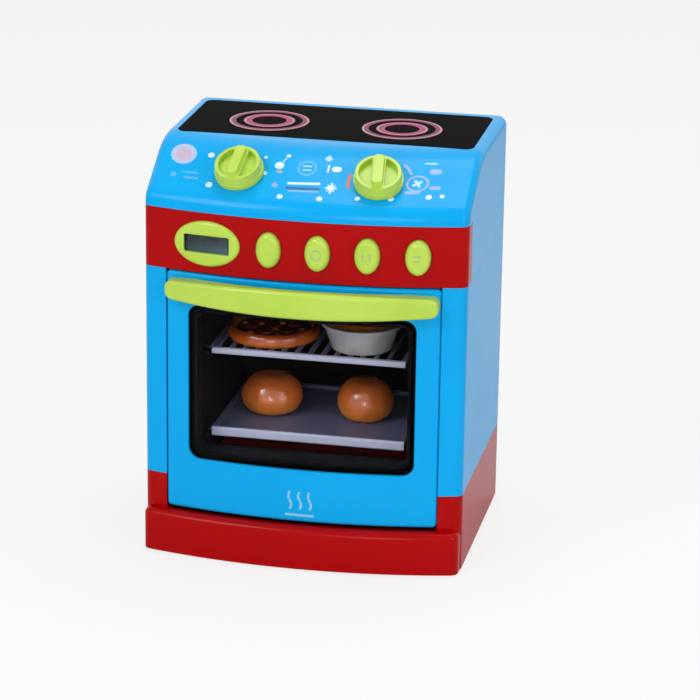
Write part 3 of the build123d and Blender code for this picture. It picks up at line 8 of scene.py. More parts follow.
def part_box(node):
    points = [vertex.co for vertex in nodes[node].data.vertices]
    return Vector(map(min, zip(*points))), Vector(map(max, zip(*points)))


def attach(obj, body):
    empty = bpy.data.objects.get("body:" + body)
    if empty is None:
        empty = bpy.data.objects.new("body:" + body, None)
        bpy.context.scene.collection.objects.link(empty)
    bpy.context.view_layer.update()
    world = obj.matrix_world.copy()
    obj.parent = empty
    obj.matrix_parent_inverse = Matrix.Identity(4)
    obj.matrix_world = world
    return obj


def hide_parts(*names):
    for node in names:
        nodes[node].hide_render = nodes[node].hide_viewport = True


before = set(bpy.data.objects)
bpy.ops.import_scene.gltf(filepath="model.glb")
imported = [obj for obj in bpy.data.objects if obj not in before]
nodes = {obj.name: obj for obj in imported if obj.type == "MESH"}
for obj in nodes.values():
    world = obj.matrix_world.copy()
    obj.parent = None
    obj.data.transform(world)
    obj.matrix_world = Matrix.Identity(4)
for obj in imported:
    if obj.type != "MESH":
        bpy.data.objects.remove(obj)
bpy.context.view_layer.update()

mm = 0.001


def srgb(hexText):
    # hex colour to the linear values a shader works in
    linear = []
    for start in (1, 3, 5):
        value = int(hexText[start : start + 2], 16) / 255
        linear.append(value / 12.92 if value <= 0.04045 else ((value + 0.055) / 1.055) ** 2.4)
    return (*linear, 1.0)


def perMetre(sizeMm):
    # texture scale for features of this size
    return 1000 / sizeMm


def addNode(tree, kind, settings=None, inputs=None, links=None, stops=None):
    # adds a node, sets it and wires its inputs; stops are a ramp's (place, colour) pairs
    node = tree.nodes.new(kind)
    for name, value in (settings or {}).items():
        setattr(node, name, value)
    for name, value in (inputs or {}).items():
        node.inputs[name].default_value = value
    for name, socket in (links or {}).items():
        tree.links.new(socket, node.inputs[name])
    if stops:
        ramp = node.color_ramp
        while len(ramp.elements) < len(stops):
            ramp.elements.new(0.5)
        for element, (place, colour) in zip(ramp.elements, stops):
            element.position = place
            element.color = colour
    return node


def newMaterial(name):
    material = bpy.data.materials.new(name)
    material.use_nodes = True
    tree = material.node_tree
    shader = tree.nodes["Principled BSDF"]
    place = addNode(tree, "ShaderNodeTexCoord").outputs["Object"]
    return material, tree, shader, place


def raiseGrain(tree, shader, place, grainMm, depthMm, detail):
    # relief of a fine even grain, by its size and depth
    grain = addNode(
        tree, "ShaderNodeTexNoise", inputs={"Scale": perMetre(grainMm), "Detail": detail},
        links={"Vector": place},
    )
    relief = addNode(
        tree, "ShaderNodeBump", inputs={"Distance": depthMm * mm}, links={"Height": grain.outputs["Fac"]}
    )
    tree.links.new(relief.outputs["Normal"], shader.inputs["Normal"])


def dress(material, slotName, *names):
    # gives CAD nodes this material
    for name in names:
        mesh = nodes[name].data
        mesh.materials.clear()
        mesh.materials.append(material)


def mouldedPlastic(name, finish):
    # Injection-moulded plastic. The eye gets an even colour that drifts a little with wall
    # thickness, a gloss that wanders slightly, and reflections rippled by the cooled skin.
    material, tree, shader, place = newMaterial(name)
    drift = addNode(
        tree, "ShaderNodeTexNoise",
        inputs={"Scale": perMetre(finish["driftMm"]), "Detail": 2.0, "Roughness": 0.45},
        links={"Vector": place},
    )
    colour = addNode(
        tree, "ShaderNodeValToRGB",
        links={"Fac": drift.outputs["Fac"]},
        stops=[(0.3, srgb(finish["deep"])), (0.7, srgb(finish["colour"]))],
    )
    tree.links.new(colour.outputs["Color"], shader.inputs["Base Color"])
    haze = addNode(
        tree, "ShaderNodeTexNoise",
        inputs={"Scale": perMetre(finish["hazeMm"]), "Detail": 3.0},
        links={"Vector": place},
    )
    gloss = addNode(
        tree, "ShaderNodeMapRange",
        inputs={"To Min": finish["roughness"] * 0.85, "To Max": finish["roughness"] * 1.2},
        links={"Value": haze.outputs["Fac"]},
    )
    tree.links.new(gloss.outputs["Result"], shader.inputs["Roughness"])
    ripple = addNode(
        tree, "ShaderNodeTexNoise",
        inputs={"Scale": perMetre(finish["rippleMm"]), "Detail": 1.5},
        links={"Vector": place},
    )
    edge = addNode(tree, "ShaderNodeBevel", settings={"samples": 4}, inputs={"Radius": finish["edgeMm"] * mm})
    skin = addNode(
        tree, "ShaderNodeBump",
        inputs={"Distance": finish["rippleDepthMm"] * mm, "Strength": 1.0},
        links={"Height": ripple.outputs["Fac"], "Normal": edge.outputs["Normal"]},
    )
    tree.links.new(skin.outputs["Normal"], shader.inputs["Normal"])
    shader.inputs["IOR"].default_value = finish["ior"]
    shader.inputs["Specular IOR Level"].default_value = finish["specular"]
    return material


blueAbs = {  # glossy ABS, the cabinet, the top housing, the door and the back
    "colour": "#00AAEE", "deep": "#00A5EA", "driftMm": 60, "hazeMm": 9, "roughness": 0.2,
    "rippleMm": 12, "rippleDepthMm": 0.01, "edgeMm": 0.5, "ior": 1.53, "specular": 0.12,
}
redAbs = {  # glossy ABS, the plinth and the fascia band
    "colour": "#B20002", "deep": "#AB0003", "driftMm": 50, "hazeMm": 8, "roughness": 0.18,
    "rippleMm": 12, "rippleDepthMm": 0.008, "edgeMm": 0.4, "ior": 1.53, "specular": 0.1,
}
limeAbs = {  # glossy ABS, the knobs, buttons, clock bezel and door handle
    "colour": "#BEDC54", "deep": "#B0D244", "driftMm": 30, "hazeMm": 6, "roughness": 0.22,
    "rippleMm": 4, "rippleDepthMm": 0.008, "edgeMm": 0.5, "ior": 1.53, "specular": 0.4,
}
blackAbs = {  # satin ABS, the base, the battery parts and the door's inner frame
    "colour": "#0B0B0D", "deep": "#070709", "driftMm": 30, "hazeMm": 2, "roughness": 0.42,
    "rippleMm": 1.2, "rippleDepthMm": 0.02, "edgeMm": 0.3, "ior": 1.53, "specular": 0.05,
}
linerAbs = {  # satin ABS with a spark-eroded grain, drawn at 0.9 mm so that it shows
    "colour": "#120D0D", "deep": "#0C0809", "driftMm": 40, "hazeMm": 1.5, "roughness": 0.5,
    "rippleMm": 0.9, "rippleDepthMm": 0.02, "edgeMm": 0.4, "ior": 1.53, "specular": 0.03,
}
hobSheet = {  # polished polystyrene sheet, nearly a mirror, with the long waves of thin sheet
    "colour": "#060608", "deep": "#030304", "driftMm": 70, "hazeMm": 12, "roughness": 0.12,
    "rippleMm": 25, "rippleDepthMm": 0.02, "edgeMm": 0.3, "ior": 1.59, "specular": 0.001,
}
naturalAcetal = {  # ratchets, unpigmented acetal with a waxy look
    "colour": "#EFEDE4", "deep": "#E4E1D6", "driftMm": 8, "hazeMm": 2, "roughness": 0.4,
    "rippleMm": 2, "rippleDepthMm": 0.01, "edgeMm": 0.2, "ior": 1.48, "specular": 0.5,
}
dishWhiteInPaintedShade = {  # glossy white ABS made to look like glazed stoneware, its white toned down to grey as painted shade inside the oven
    "colour": "#B7B3B1", "deep": "#A7A3A2", "driftMm": 15, "hazeMm": 4, "roughness": 0.2,
    "rippleMm": 5, "rippleDepthMm": 0.03, "edgeMm": 0.5, "ior": 1.53, "specular": 0.5,
}

dress(
    mouldedPlastic("glossyBlueAbs", blueAbs), "blue_plastic",
    "cabinet_shell", "top_housing", "rear_cover", "door_shell",
)
dress(mouldedPlastic("glossyRedAbs", redAbs), "red_plastic", "plinth", "fascia_band")
dress(
    mouldedPlastic("glossyLimeAbs", limeAbs), "lime_plastic", "left_knob", "right_knob",
    "clock_bezel", "door_handle", "button_1", "button_2", "button_3", "button_4",
)
dress(
    mouldedPlastic("satinBlackAbs", blackAbs), "black_plastic",
    "base_plate", "battery_door", "battery_box", "door_inner_frame",
)
dress(mouldedPlastic("grainedBlackAbs", linerAbs), "oven_black", "cavity_liner")
dress(mouldedPlastic("polishedBlackPolystyrene", hobSheet), "hob_black", "hob_sheet")
dress(
    mouldedPlastic("naturalAcetal", naturalAcetal), "white_plastic",
    "left_knob_ratchet", "right_knob_ratchet",
)
dress(mouldedPlastic("glossyWhiteAbsPaintedShade", dishWhiteInPaintedShade), "dish_white", "pie_dish")
print("moulded bodies dressed")

burnerRings = {  # radius in mm and colour, from the middle outwards
    "bands": [
        (0.0, "#B06A8E"), (12.2, "#B02A6C"), (14.6, "#981A58"), (15.6, "#CF86A0"),
        (18.0, "#6E0C3C"), (24.2, "#7A1244"), (24.8, "#C78D92"),
    ],
    "fadeMm": 0.35, "roughness": 0.22, "ior": 1.59, "specular": 0.05,
}


def screenedRings(name, finish, nodeName):
    # Polystyrene rings let into the hob and screen-printed in bands. The eye gets a deep
    # magenta with paler lines at its rims, a little uneven where the ink ran thin.
    material, tree, shader, place = newMaterial(name)
    low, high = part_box(nodeName)
    outer = (high.x - low.x) / 2
    flat = addNode(
        tree, "ShaderNodeVectorMath", settings={"operation": "MULTIPLY_ADD"},
        inputs={1: (1, 1, 0), 2: (-(low.x + high.x) / 2, -(low.y + high.y) / 2, 0)}, links={0: place},
    )
    reach = addNode(
        tree, "ShaderNodeVectorMath", settings={"operation": "LENGTH"}, links={0: flat.outputs["Vector"]}
    )
    run = addNode(
        tree, "ShaderNodeTexNoise", inputs={"Scale": perMetre(1.2), "Detail": 2.0}, links={"Vector": place}
    )
    ragged = addNode(
        tree, "ShaderNodeMath", settings={"operation": "MULTIPLY_ADD"}, inputs={1: finish["fadeMm"] * mm},
        links={0: run.outputs["Fac"], 2: reach.outputs["Value"]},
    )
    across = addNode(
        tree, "ShaderNodeMapRange", inputs={"From Max": outer}, links={"Value": ragged.outputs["Value"]}
    )
    colour = addNode(
        tree, "ShaderNodeValToRGB", links={"Fac": across.outputs["Result"]},
        stops=[(radius * mm / outer, srgb(ink)) for radius, ink in finish["bands"]],
    )
    tree.links.new(colour.outputs["Color"], shader.inputs["Base Color"])
    shader.inputs["Roughness"].default_value = finish["roughness"]
    shader.inputs["IOR"].default_value = finish["ior"]
    shader.inputs["Specular IOR Level"].default_value = finish["specular"]
    return material


for side in ("left", "right"):
    rings = side + "_burner_rings"
    dress(screenedRings(side + "ScreenedPolystyrene", burnerRings, rings), "pink_plastic", rings)
print("rings dressed")

trayFinish = {  # dark ABS tray: a paler front edge as a painted highlight where light falls, the darker rest as painted shade inside the oven
    "dark": "#5E5E77", "rim": "#ABAAC0", "rimWidthMm": 1.6, "paintFadeMm": 1.2,
    "grainMm": 1.4, "grainDepthMm": 0.02, "roughness": 0.34, "specular": 0.3,
}
rackFinish = {  # the same painted highlight and shade for the barred rack, whose bars are painted lighter because they catch more light
    "dark": "#6E6E82", "rim": "#B4B3C8", "rimWidthMm": 2.6, "paintFadeMm": 1.2,
    "grainMm": 1.4, "grainDepthMm": 0.015, "roughness": 0.32, "specular": 0.3,
}


def paintedLitRim(name, finish, nodeName):
    # Dark ABS with a painted highlight along its front edge and painted shade behind it. The eye gets a paler
    # front edge that fades off raggedly, over a fine moulded grain.
    material, tree, shader, place = newMaterial(name)
    low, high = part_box(nodeName)
    split = addNode(tree, "ShaderNodeSeparateXYZ", links={"Vector": place})
    speckle = addNode(
        tree, "ShaderNodeTexNoise", inputs={"Scale": perMetre(1.0), "Detail": 3.0}, links={"Vector": place}
    )
    wander = addNode(
        tree, "ShaderNodeMath", settings={"operation": "MULTIPLY_ADD"},
        inputs={1: finish["paintFadeMm"] * mm},
        links={0: speckle.outputs["Fac"], 2: split.outputs["Y"]},
    )
    # painted highlight: a paler band along the front edge, the rest left dark as painted shade
    edge = low.y + finish["rimWidthMm"] * mm
    paintedLitEdge = addNode(
        tree, "ShaderNodeMapRange", settings={"interpolation_type": "SMOOTHSTEP"},
        inputs={
            "From Min": edge, "From Max": edge + finish["paintFadeMm"] * mm, "To Min": 1.0, "To Max": 0.0,
        },
        links={"Value": wander.outputs["Value"]},
    )
    colour = addNode(
        tree, "ShaderNodeMix", settings={"data_type": "RGBA"},
        inputs={6: srgb(finish["dark"]), 7: srgb(finish["rim"])},
        links={0: paintedLitEdge.outputs["Result"]},
    )
    tree.links.new(colour.outputs[2], shader.inputs["Base Color"])
    raiseGrain(tree, shader, place, finish["grainMm"], finish["grainDepthMm"], detail=2.0)
    shader.inputs["Roughness"].default_value = finish["roughness"]
    shader.inputs["Specular IOR Level"].default_value = finish["specular"]
    return material


dress(paintedLitRim("trayAbsWithPaintedLitRim", trayFinish, "lower_tray"), "tray_grey", "lower_tray")
dress(paintedLitRim("rackAbsWithPaintedLitRim", rackFinish, "upper_rack"), "rack_grey", "upper_rack")

windowPane = {  # polystyrene sheet: clear, hard gloss, a faint grey at the edge
    "tint": "#F1F4F6", "roughness": 0.02, "ior": 1.59, "glare": "#202020",
    "waveMm": 45, "waveDepthMm": 0.008,
}
clockLens = {  # thin lens over the clock, flatter and a little greener
    "tint": "#E9F2F0", "roughness": 0.04, "ior": 1.59, "glare": "#606060",
    "waveMm": 12, "waveDepthMm": 0.001,
}


def clearSheet(name, finish):
    # Clear polystyrene. The eye gets what is behind it, slightly tinted, and a soft
    # reflection bent by the long waves of thin sheet. Lamps pass straight through.
    material, tree, shader, place = newMaterial(name)
    shader.inputs["Base Color"].default_value = srgb(finish["tint"])
    shader.inputs["Roughness"].default_value = finish["roughness"]
    shader.inputs["IOR"].default_value = finish["ior"]
    shader.inputs["Specular Tint"].default_value = srgb(finish["glare"])
    shader.inputs["Transmission Weight"].default_value = 1.0
    raiseGrain(tree, shader, place, finish["waveMm"], finish["waveDepthMm"], detail=0.0)
    path = addNode(tree, "ShaderNodeLightPath")
    opened = addNode(tree, "ShaderNodeBsdfTransparent", inputs={"Color": srgb(finish["tint"])})
    both = addNode(
        tree, "ShaderNodeMixShader",
        links={0: path.outputs["Is Shadow Ray"], 1: shader.outputs[0], 2: opened.outputs[0]},
    )
    tree.links.new(both.outputs[0], tree.nodes["Material Output"].inputs["Surface"])
    return material


dress(clearSheet("clearPolystyrenePane", windowPane), "window_clear", "door_window")
dress(clearSheet("clearPolystyreneLens", clockLens), "clear_plastic", "clock_lens")

displayFinish = {  # liquid crystal: painted shade of the opening's walls at the top left, grey-blue at the lit bottom right
    "dark": "#0C1413", "middle": "#22333B", "light": "#4C6470", "segment": "#0C0E10",
    "rowPitchMm": 0.7, "roughness": 0.25,
}


def liquidCrystal(name, finish):
    # A plain display with nothing on. The eye gets a grey-blue sheet with painted shade that darkens it
    # towards the top left corner, where the walls of the opening shade it, with the faint rows of its
    # electrodes.
    material, tree, shader, place = newMaterial(name)
    low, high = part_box("clock_display")
    split = addNode(tree, "ShaderNodeSeparateXYZ", links={"Vector": place})
    across = addNode(
        tree, "ShaderNodeMapRange",
        inputs={"From Min": low.x, "From Max": high.x}, links={"Value": split.outputs["X"]},
    )
    down = addNode(
        tree, "ShaderNodeMapRange",
        inputs={"From Min": low.z, "From Max": high.z, "To Min": 0.65, "To Max": 0.0},
        links={"Value": split.outputs["Z"]},
    )
    # painted shade: darker to the left and towards the top
    paintedShadeFac = addNode(
        tree, "ShaderNodeMath", settings={"operation": "MULTIPLY_ADD"}, inputs={1: 0.35},
        links={0: across.outputs["Result"], 2: down.outputs["Result"]},
    )
    shade = addNode(
        tree, "ShaderNodeValToRGB", links={"Fac": paintedShadeFac.outputs["Value"]},
        stops=[(0.1, srgb(finish["dark"])), (0.45, srgb(finish["middle"])), (0.9, srgb(finish["light"]))],
    )
    rows = addNode(
        tree, "ShaderNodeTexWave", settings={"bands_direction": "Z"},
        inputs={"Scale": perMetre(finish["rowPitchMm"]) * math.pi / 10}, links={"Vector": place},
    )
    faint = addNode(
        tree, "ShaderNodeMath", settings={"operation": "MULTIPLY"},
        inputs={1: 0.12}, links={0: rows.outputs["Fac"]},
    )
    colour = addNode(
        tree, "ShaderNodeMix", settings={"data_type": "RGBA"}, inputs={7: srgb(finish["segment"])},
        links={0: faint.outputs["Value"], 6: shade.outputs["Color"]},
    )
    tree.links.new(colour.outputs[2], shader.inputs["Base Color"])
    shader.inputs["Roughness"].default_value = finish["roughness"]
    return material


dress(liquidCrystal("blankLiquidCrystal", displayFinish), "display_glass", "clock_display")
print("clear parts dressed")

nickelSteel = {"colour": "#C9C7C2", "dull": "#A8A5A0", "lineMm": 0.25, "roughness": 0.22, "depthMm": 0.004}
zincSteel = {"colour": "#B9BABB", "dull": "#8F9194", "lineMm": 0.4, "roughness": 0.34, "depthMm": 0.006}


def drawnSteel(name, finish):
    # Plated steel wire and strip. The eye gets a grey metal with fine die lines, brighter
    # and duller by turns; the lines are drawn coarser than the real 0.05 mm so that they show.
    material, tree, shader, place = newMaterial(name)
    stretch = addNode(tree, "ShaderNodeMapping", inputs={"Scale": (1.0, 0.12, 1.0)}, links={"Vector": place})
    lines = addNode(
        tree, "ShaderNodeTexNoise",
        inputs={"Scale": perMetre(finish["lineMm"]), "Detail": 2.0},
        links={"Vector": stretch.outputs["Vector"]},
    )
    colour = addNode(
        tree, "ShaderNodeValToRGB", links={"Fac": lines.outputs["Fac"]},
        stops=[(0.3, srgb(finish["dull"])), (0.65, srgb(finish["colour"]))],
    )
    tree.links.new(colour.outputs["Color"], shader.inputs["Base Color"])
    gloss = addNode(
        tree, "ShaderNodeMapRange",
        inputs={"To Min": finish["roughness"] * 0.7, "To Max": finish["roughness"] * 1.4},
        links={"Value": lines.outputs["Fac"]},
    )
    tree.links.new(gloss.outputs["Result"], shader.inputs["Roughness"])
    skin = addNode(
        tree, "ShaderNodeBump", inputs={"Distance": finish["depthMm"] * mm},
        links={"Height": lines.outputs["Fac"]},
    )
    tree.links.new(skin.outputs["Normal"], shader.inputs["Normal"])
    shader.inputs["Metallic"].default_value = 1.0
    return material


dress(
    drawnSteel("nickelPlatedSteel", nickelSteel), "bright_steel",
    "battery_contacts", "knob_clickers", "hinge_pins", "speaker",
)
dress(
    drawnSteel("zincPlatedSteel", zincSteel), "screw_steel", "base_screws", "board_screws",
    "door_screws", "handle_screws", "rear_cover_screws", "left_knob_screw", "right_knob_screw",
)

softFinishes = {  # each with the slot and the nodes that it dresses
    "mouldedRubber": {
        "colour": "#1C1C1D", "bloom": "#2B2B2C", "grainMm": 0.7, "depthMm": 0.03,
        "roughness": 0.78, "ior": 1.52, "slot": "foot_rubber", "nodes": ["feet"],
    },
    "siliconeRubber": {
        "colour": "#C9C8C0", "bloom": "#D8D7D0", "grainMm": 1.2, "depthMm": 0.01,
        "roughness": 0.5, "ior": 1.41, "slot": "pad_rubber", "nodes": ["button_pad"],
    },
    "pressedPaper": {
        "colour": "#141312", "bloom": "#24221F", "grainMm": 0.5, "depthMm": 0.05,
        "roughness": 0.9, "ior": 1.45, "slot": "cone_paper", "nodes": ["speaker_cone"],
    },
    "redPvc": {
        "colour": "#A30E0E", "bloom": "#B3201C", "grainMm": 1.0, "depthMm": 0.01,
        "roughness": 0.4, "ior": 1.53, "slot": "lead_red", "nodes": ["battery_leads", "lamp_leads"],
    },
    "blackPvc": {
        "colour": "#141416", "bloom": "#202024", "grainMm": 1.0, "depthMm": 0.01,
        "roughness": 0.4, "ior": 1.53, "slot": "lead_black", "nodes": ["speaker_leads"],
    },
    "solderMask": {
        "colour": "#0B5A2C", "bloom": "#0F6C38", "grainMm": 0.9, "depthMm": 0.02,
        "roughness": 0.3, "ior": 1.5, "slot": "board_green", "nodes": ["circuit_board"],
    },
}


def softSurface(name, finish):
    # Rubber, paper, lead insulation and lacquered laminate. The eye gets a matt or waxy
    # body with a fine grain and a paler bloom in patches.
    material, tree, shader, place = newMaterial(name)
    bloom = addNode(
        tree, "ShaderNodeTexNoise",
        inputs={"Scale": perMetre(finish["grainMm"] * 9), "Detail": 4.0, "Roughness": 0.6},
        links={"Vector": place},
    )
    colour = addNode(
        tree, "ShaderNodeValToRGB", links={"Fac": bloom.outputs["Fac"]},
        stops=[(0.4, srgb(finish["colour"])), (0.75, srgb(finish["bloom"]))],
    )
    tree.links.new(colour.outputs["Color"], shader.inputs["Base Color"])
    raiseGrain(tree, shader, place, finish["grainMm"], finish["depthMm"], detail=3.0)
    shader.inputs["Roughness"].default_value = finish["roughness"]
    shader.inputs["IOR"].default_value = finish["ior"]
    return material


for name, finish in softFinishes.items():
    dress(softSurface(name, finish), finish["slot"], *finish["nodes"])

cellFinish = {  # two dry cells with a plain jacket, band and end lengths in mm
    "jacket": "#17181B", "band": "#B98A3B", "can": "#BFC0C0", "bandMm": 11.0, "nubMm": 1.4,
    "roughness": 0.28,
}


def cellJacket(name, finish):
    # Lacquered steel battery cells. The eye gets a dark jacket, a copper-coloured band at
    # the head and bare metal at the very ends.
    material, tree, shader, place = newMaterial(name)
    low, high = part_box("batteries")
    split = addNode(tree, "ShaderNodeSeparateXYZ", links={"Vector": place})
    side = addNode(
        tree, "ShaderNodeMath", settings={"operation": "GREATER_THAN"},
        inputs={1: (low.y + high.y) / 2}, links={0: split.outputs["Y"]},
    )
    fromHead = addNode(
        tree, "ShaderNodeMapRange",
        inputs={"From Min": low.x, "From Max": high.x}, links={"Value": split.outputs["X"]},
    )
    flipped = addNode(
        tree, "ShaderNodeMath", settings={"operation": "SUBTRACT"}, inputs={0: 1.0},
        links={1: fromHead.outputs["Result"]},
    )
    along = addNode(
        tree, "ShaderNodeMix",
        links={0: side.outputs["Value"], 2: fromHead.outputs["Result"], 3: flipped.outputs["Value"]},
    )
    lengthMm = (high.x - low.x) / mm
    colour = addNode(
        tree, "ShaderNodeValToRGB", links={"Fac": along.outputs[0]},
        stops=[
            (0.0, srgb(finish["can"])),
            (finish["nubMm"] / lengthMm, srgb(finish["band"])),
            (finish["bandMm"] / lengthMm, srgb(finish["jacket"])),
            (1 - finish["nubMm"] / lengthMm, srgb(finish["can"])),
        ],
    )
    colour.color_ramp.interpolation = "CONSTANT"
    tree.links.new(colour.outputs["Color"], shader.inputs["Base Color"])
    shader.inputs["Roughness"].default_value = finish["roughness"]
    return material


dress(cellJacket("lacqueredCell", cellFinish), "cell_jacket", "batteries")

lampFinish = {  # small amber lamp in the roof of the oven
    "core": "#F2C36A", "rim": "#D99A35", "roughness": 0.12, "ior": 1.55, "through": 0.5,
}


def tintedResin(name, finish):
    # Cast epoxy of a small lamp. The eye gets an amber bead, deeper at its rim.
    material, tree, shader, place = newMaterial(name)
    facing = addNode(tree, "ShaderNodeLayerWeight", inputs={"Blend": 0.4})
    colour = addNode(
        tree, "ShaderNodeMix", settings={"data_type": "RGBA"},
        inputs={6: srgb(finish["core"]), 7: srgb(finish["rim"])}, links={0: facing.outputs["Facing"]},
    )
    tree.links.new(colour.outputs[2], shader.inputs["Base Color"])
    shader.inputs["Roughness"].default_value = finish["roughness"]
    shader.inputs["IOR"].default_value = finish["ior"]
    shader.inputs["Transmission Weight"].default_value = finish["through"]
    return material


dress(tintedResin("amberEpoxy", lampFinish), "lamp_amber", "oven_lamp")
print("metal and small parts dressed")

bakedFinishes = {  # sprayed shades from the foot up; the pale ends and the dark starts at these shares
    "bunCrustWithPaintedReflection": {
        # the top shade is painted paler than the browning alone would be, a painted reflection on the bun
        # tops
        "pale": "#D97A28", "brown": "#C25E22", "dark": "#9C4C22", "paleBelow": 0.15, "darkAbove": 1.0,
    },
    "pizzaCrust": {
        "pale": "#CC6418", "brown": "#B0490E", "dark": "#7A2C0A", "paleBelow": 0.2, "darkAbove": 1.0,
    },
    "pizzaSauce": {
        "pale": "#8E2616", "brown": "#741A12", "dark": "#4A0E0C", "paleBelow": 0.1, "darkAbove": 0.9,
    },
    "pizzaSalami": {
        "pale": "#A8301F", "brown": "#942318", "dark": "#621612", "paleBelow": 0.1, "darkAbove": 0.9,
    },
    "pizzaCheese": {
        "pale": "#D9A24A", "brown": "#C98A35", "dark": "#9A5A20", "paleBelow": 0.1, "darkAbove": 0.9,
    },
    "pieCrust": {
        "pale": "#CE7A30", "brown": "#B25E1C", "dark": "#84400F", "paleBelow": 0.2, "darkAbove": 0.95,
    },
}
bakedSkin = {  # shared by all the food
    "blushMm": 11, "blushSwing": 0.7, "freckleMm": 1.8, "freckleCover": 0.45, "poreMm": 2.6,
    "poreDepthMm": 0.09, "roughness": 0.26, "ior": 1.5, "coat": 0.5, "coatRoughness": 0.14,
}


def airbrushedFood(name, shades, lowZ, highZ):
    # Hollow PVC food, sprayed brown over a pale body and lacquered. The eye gets a colour
    # that darkens towards the top in soft patches, fine freckles and a wet gloss.
    material, tree, shader, place = newMaterial(name)
    split = addNode(tree, "ShaderNodeSeparateXYZ", links={"Vector": place})
    rise = addNode(
        tree, "ShaderNodeMapRange",
        inputs={"From Min": lowZ, "From Max": highZ}, links={"Value": split.outputs["Z"]},
    )
    blush = addNode(
        tree, "ShaderNodeTexNoise",
        inputs={"Scale": perMetre(bakedSkin["blushMm"]), "Detail": 2.0, "Roughness": 0.55},
        links={"Vector": place},
    )
    patchy = addNode(
        tree, "ShaderNodeMath", settings={"operation": "MULTIPLY_ADD"},
        inputs={1: bakedSkin["blushSwing"], 2: -bakedSkin["blushSwing"] / 2},
        links={0: blush.outputs["Fac"]},
    )
    level = addNode(
        tree, "ShaderNodeMath", settings={"operation": "ADD", "use_clamp": True},
        links={0: rise.outputs["Result"], 1: patchy.outputs["Value"]},
    )
    colour = addNode(
        tree, "ShaderNodeValToRGB", links={"Fac": level.outputs["Value"]},
        stops=[
            (shades["paleBelow"], srgb(shades["pale"])),
            ((shades["paleBelow"] + shades["darkAbove"]) / 2, srgb(shades["brown"])),
            (shades["darkAbove"], srgb(shades["dark"])),
        ],
    )
    freckle = addNode(
        tree, "ShaderNodeTexNoise",
        inputs={"Scale": perMetre(bakedSkin["freckleMm"]), "Detail": 2.0}, links={"Vector": place},
    )
    spots = addNode(
        tree, "ShaderNodeMapRange",
        inputs={"From Min": 0.58, "From Max": 0.75, "To Max": bakedSkin["freckleCover"]},
        links={"Value": freckle.outputs["Fac"]},
    )
    freckled = addNode(
        tree, "ShaderNodeMix", settings={"data_type": "RGBA"}, inputs={7: srgb(shades["dark"])},
        links={0: spots.outputs["Result"], 6: colour.outputs["Color"]},
    )
    tree.links.new(freckled.outputs[2], shader.inputs["Base Color"])
    raiseGrain(tree, shader, place, bakedSkin["poreMm"], bakedSkin["poreDepthMm"], detail=3.0)
    shader.inputs["Roughness"].default_value = bakedSkin["roughness"]
    shader.inputs["IOR"].default_value = bakedSkin["ior"]
    shader.inputs["Coat Weight"].default_value = bakedSkin["coat"]
    shader.inputs["Coat Roughness"].default_value = bakedSkin["coatRoughness"]
    return material


def meshPiece(name, points, faces, materials, smooth=True):
    mesh = bpy.data.meshes.new(name)
    mesh.from_pydata([tuple(point) for point in points], [], faces)
    mesh.update()
    piece = bpy.data.objects.new(name, mesh)
    bpy.context.scene.collection.objects.link(piece)
    for material in materials:
        mesh.materials.append(material)
    for polygon in mesh.polygons:
        polygon.use_smooth = smooth
    return piece


def turnedMesh(centre, profile, around, shape):
    # closed turned form; profile is (radius, height) in mm from the bottom middle to the
    # top middle, and shape(angle, radius, height) moves each point
    points = []
    faces = []
    for radius, height in profile[1:-1]:
        for step in range(around):
            angle = 2 * math.pi * step / around
            newRadius, newHeight = shape(angle, radius, height)
            points.append(centre + Vector((
                newRadius * math.cos(angle) * mm, newRadius * math.sin(angle) * mm, newHeight * mm,
            )))
    rows = len(profile) - 2
    for row in range(rows - 1):
        for step in range(around):
            ahead = (step + 1) % around
            faces.append((
                row * around + step, row * around + ahead,
                (row + 1) * around + ahead, (row + 1) * around + step,
            ))
    bottom = len(points)
    points.append(centre + Vector((0, 0, shape(0, *profile[0])[1] * mm)))
    points.append(centre + Vector((0, 0, shape(0, *profile[-1])[1] * mm)))
    last = (rows - 1) * around
    for step in range(around):
        ahead = (step + 1) % around
        faces.append((bottom, ahead, step))
        faces.append((bottom + 1, last + step, last + ahead))
    return points, faces


def smoothProfile(corners, spacing):
    # Catmull-Rom line through the corners, at about this spacing in mm
    line = []
    count = len(corners)
    for index in range(count - 1):
        before = Vector(corners[max(index - 1, 0)])
        start = Vector(corners[index])
        end = Vector(corners[index + 1])
        after = Vector(corners[min(index + 2, count - 1)])
        pieces = max(1, round((end - start).length / spacing))
        for step in range(pieces):
            t = step / pieces
            line.append(tuple(0.5 * (
                2 * start + (end - before) * t
                + (2 * before - 5 * start + 4 * end - after) * t**2
                + (3 * start - before - 3 * end + after) * t**3
            )))
    line.append(tuple(corners[-1]))
    return [(max(radius, 0.0), height) for radius, height in line]


def soft(angle, turns, height, seed):
    # slow wobble round a piece, from -1 to 1
    return noise.noise(Vector((turns * math.cos(angle) + seed, turns * math.sin(angle), height)))


rolls = {  # dinner rolls: a flat foot, the widest place low down, a slightly lopsided top
    "left_roll": {"seed": 3.1, "lumpMm": 0.9, "creaseDeg": 25, "creaseMm": 0.35, "creaseWidthMm": 2.4},
    "right_roll": {"seed": 8.7, "lumpMm": 0.8, "creaseDeg": -40, "creaseMm": 0.25, "creaseWidthMm": 2.4},
}

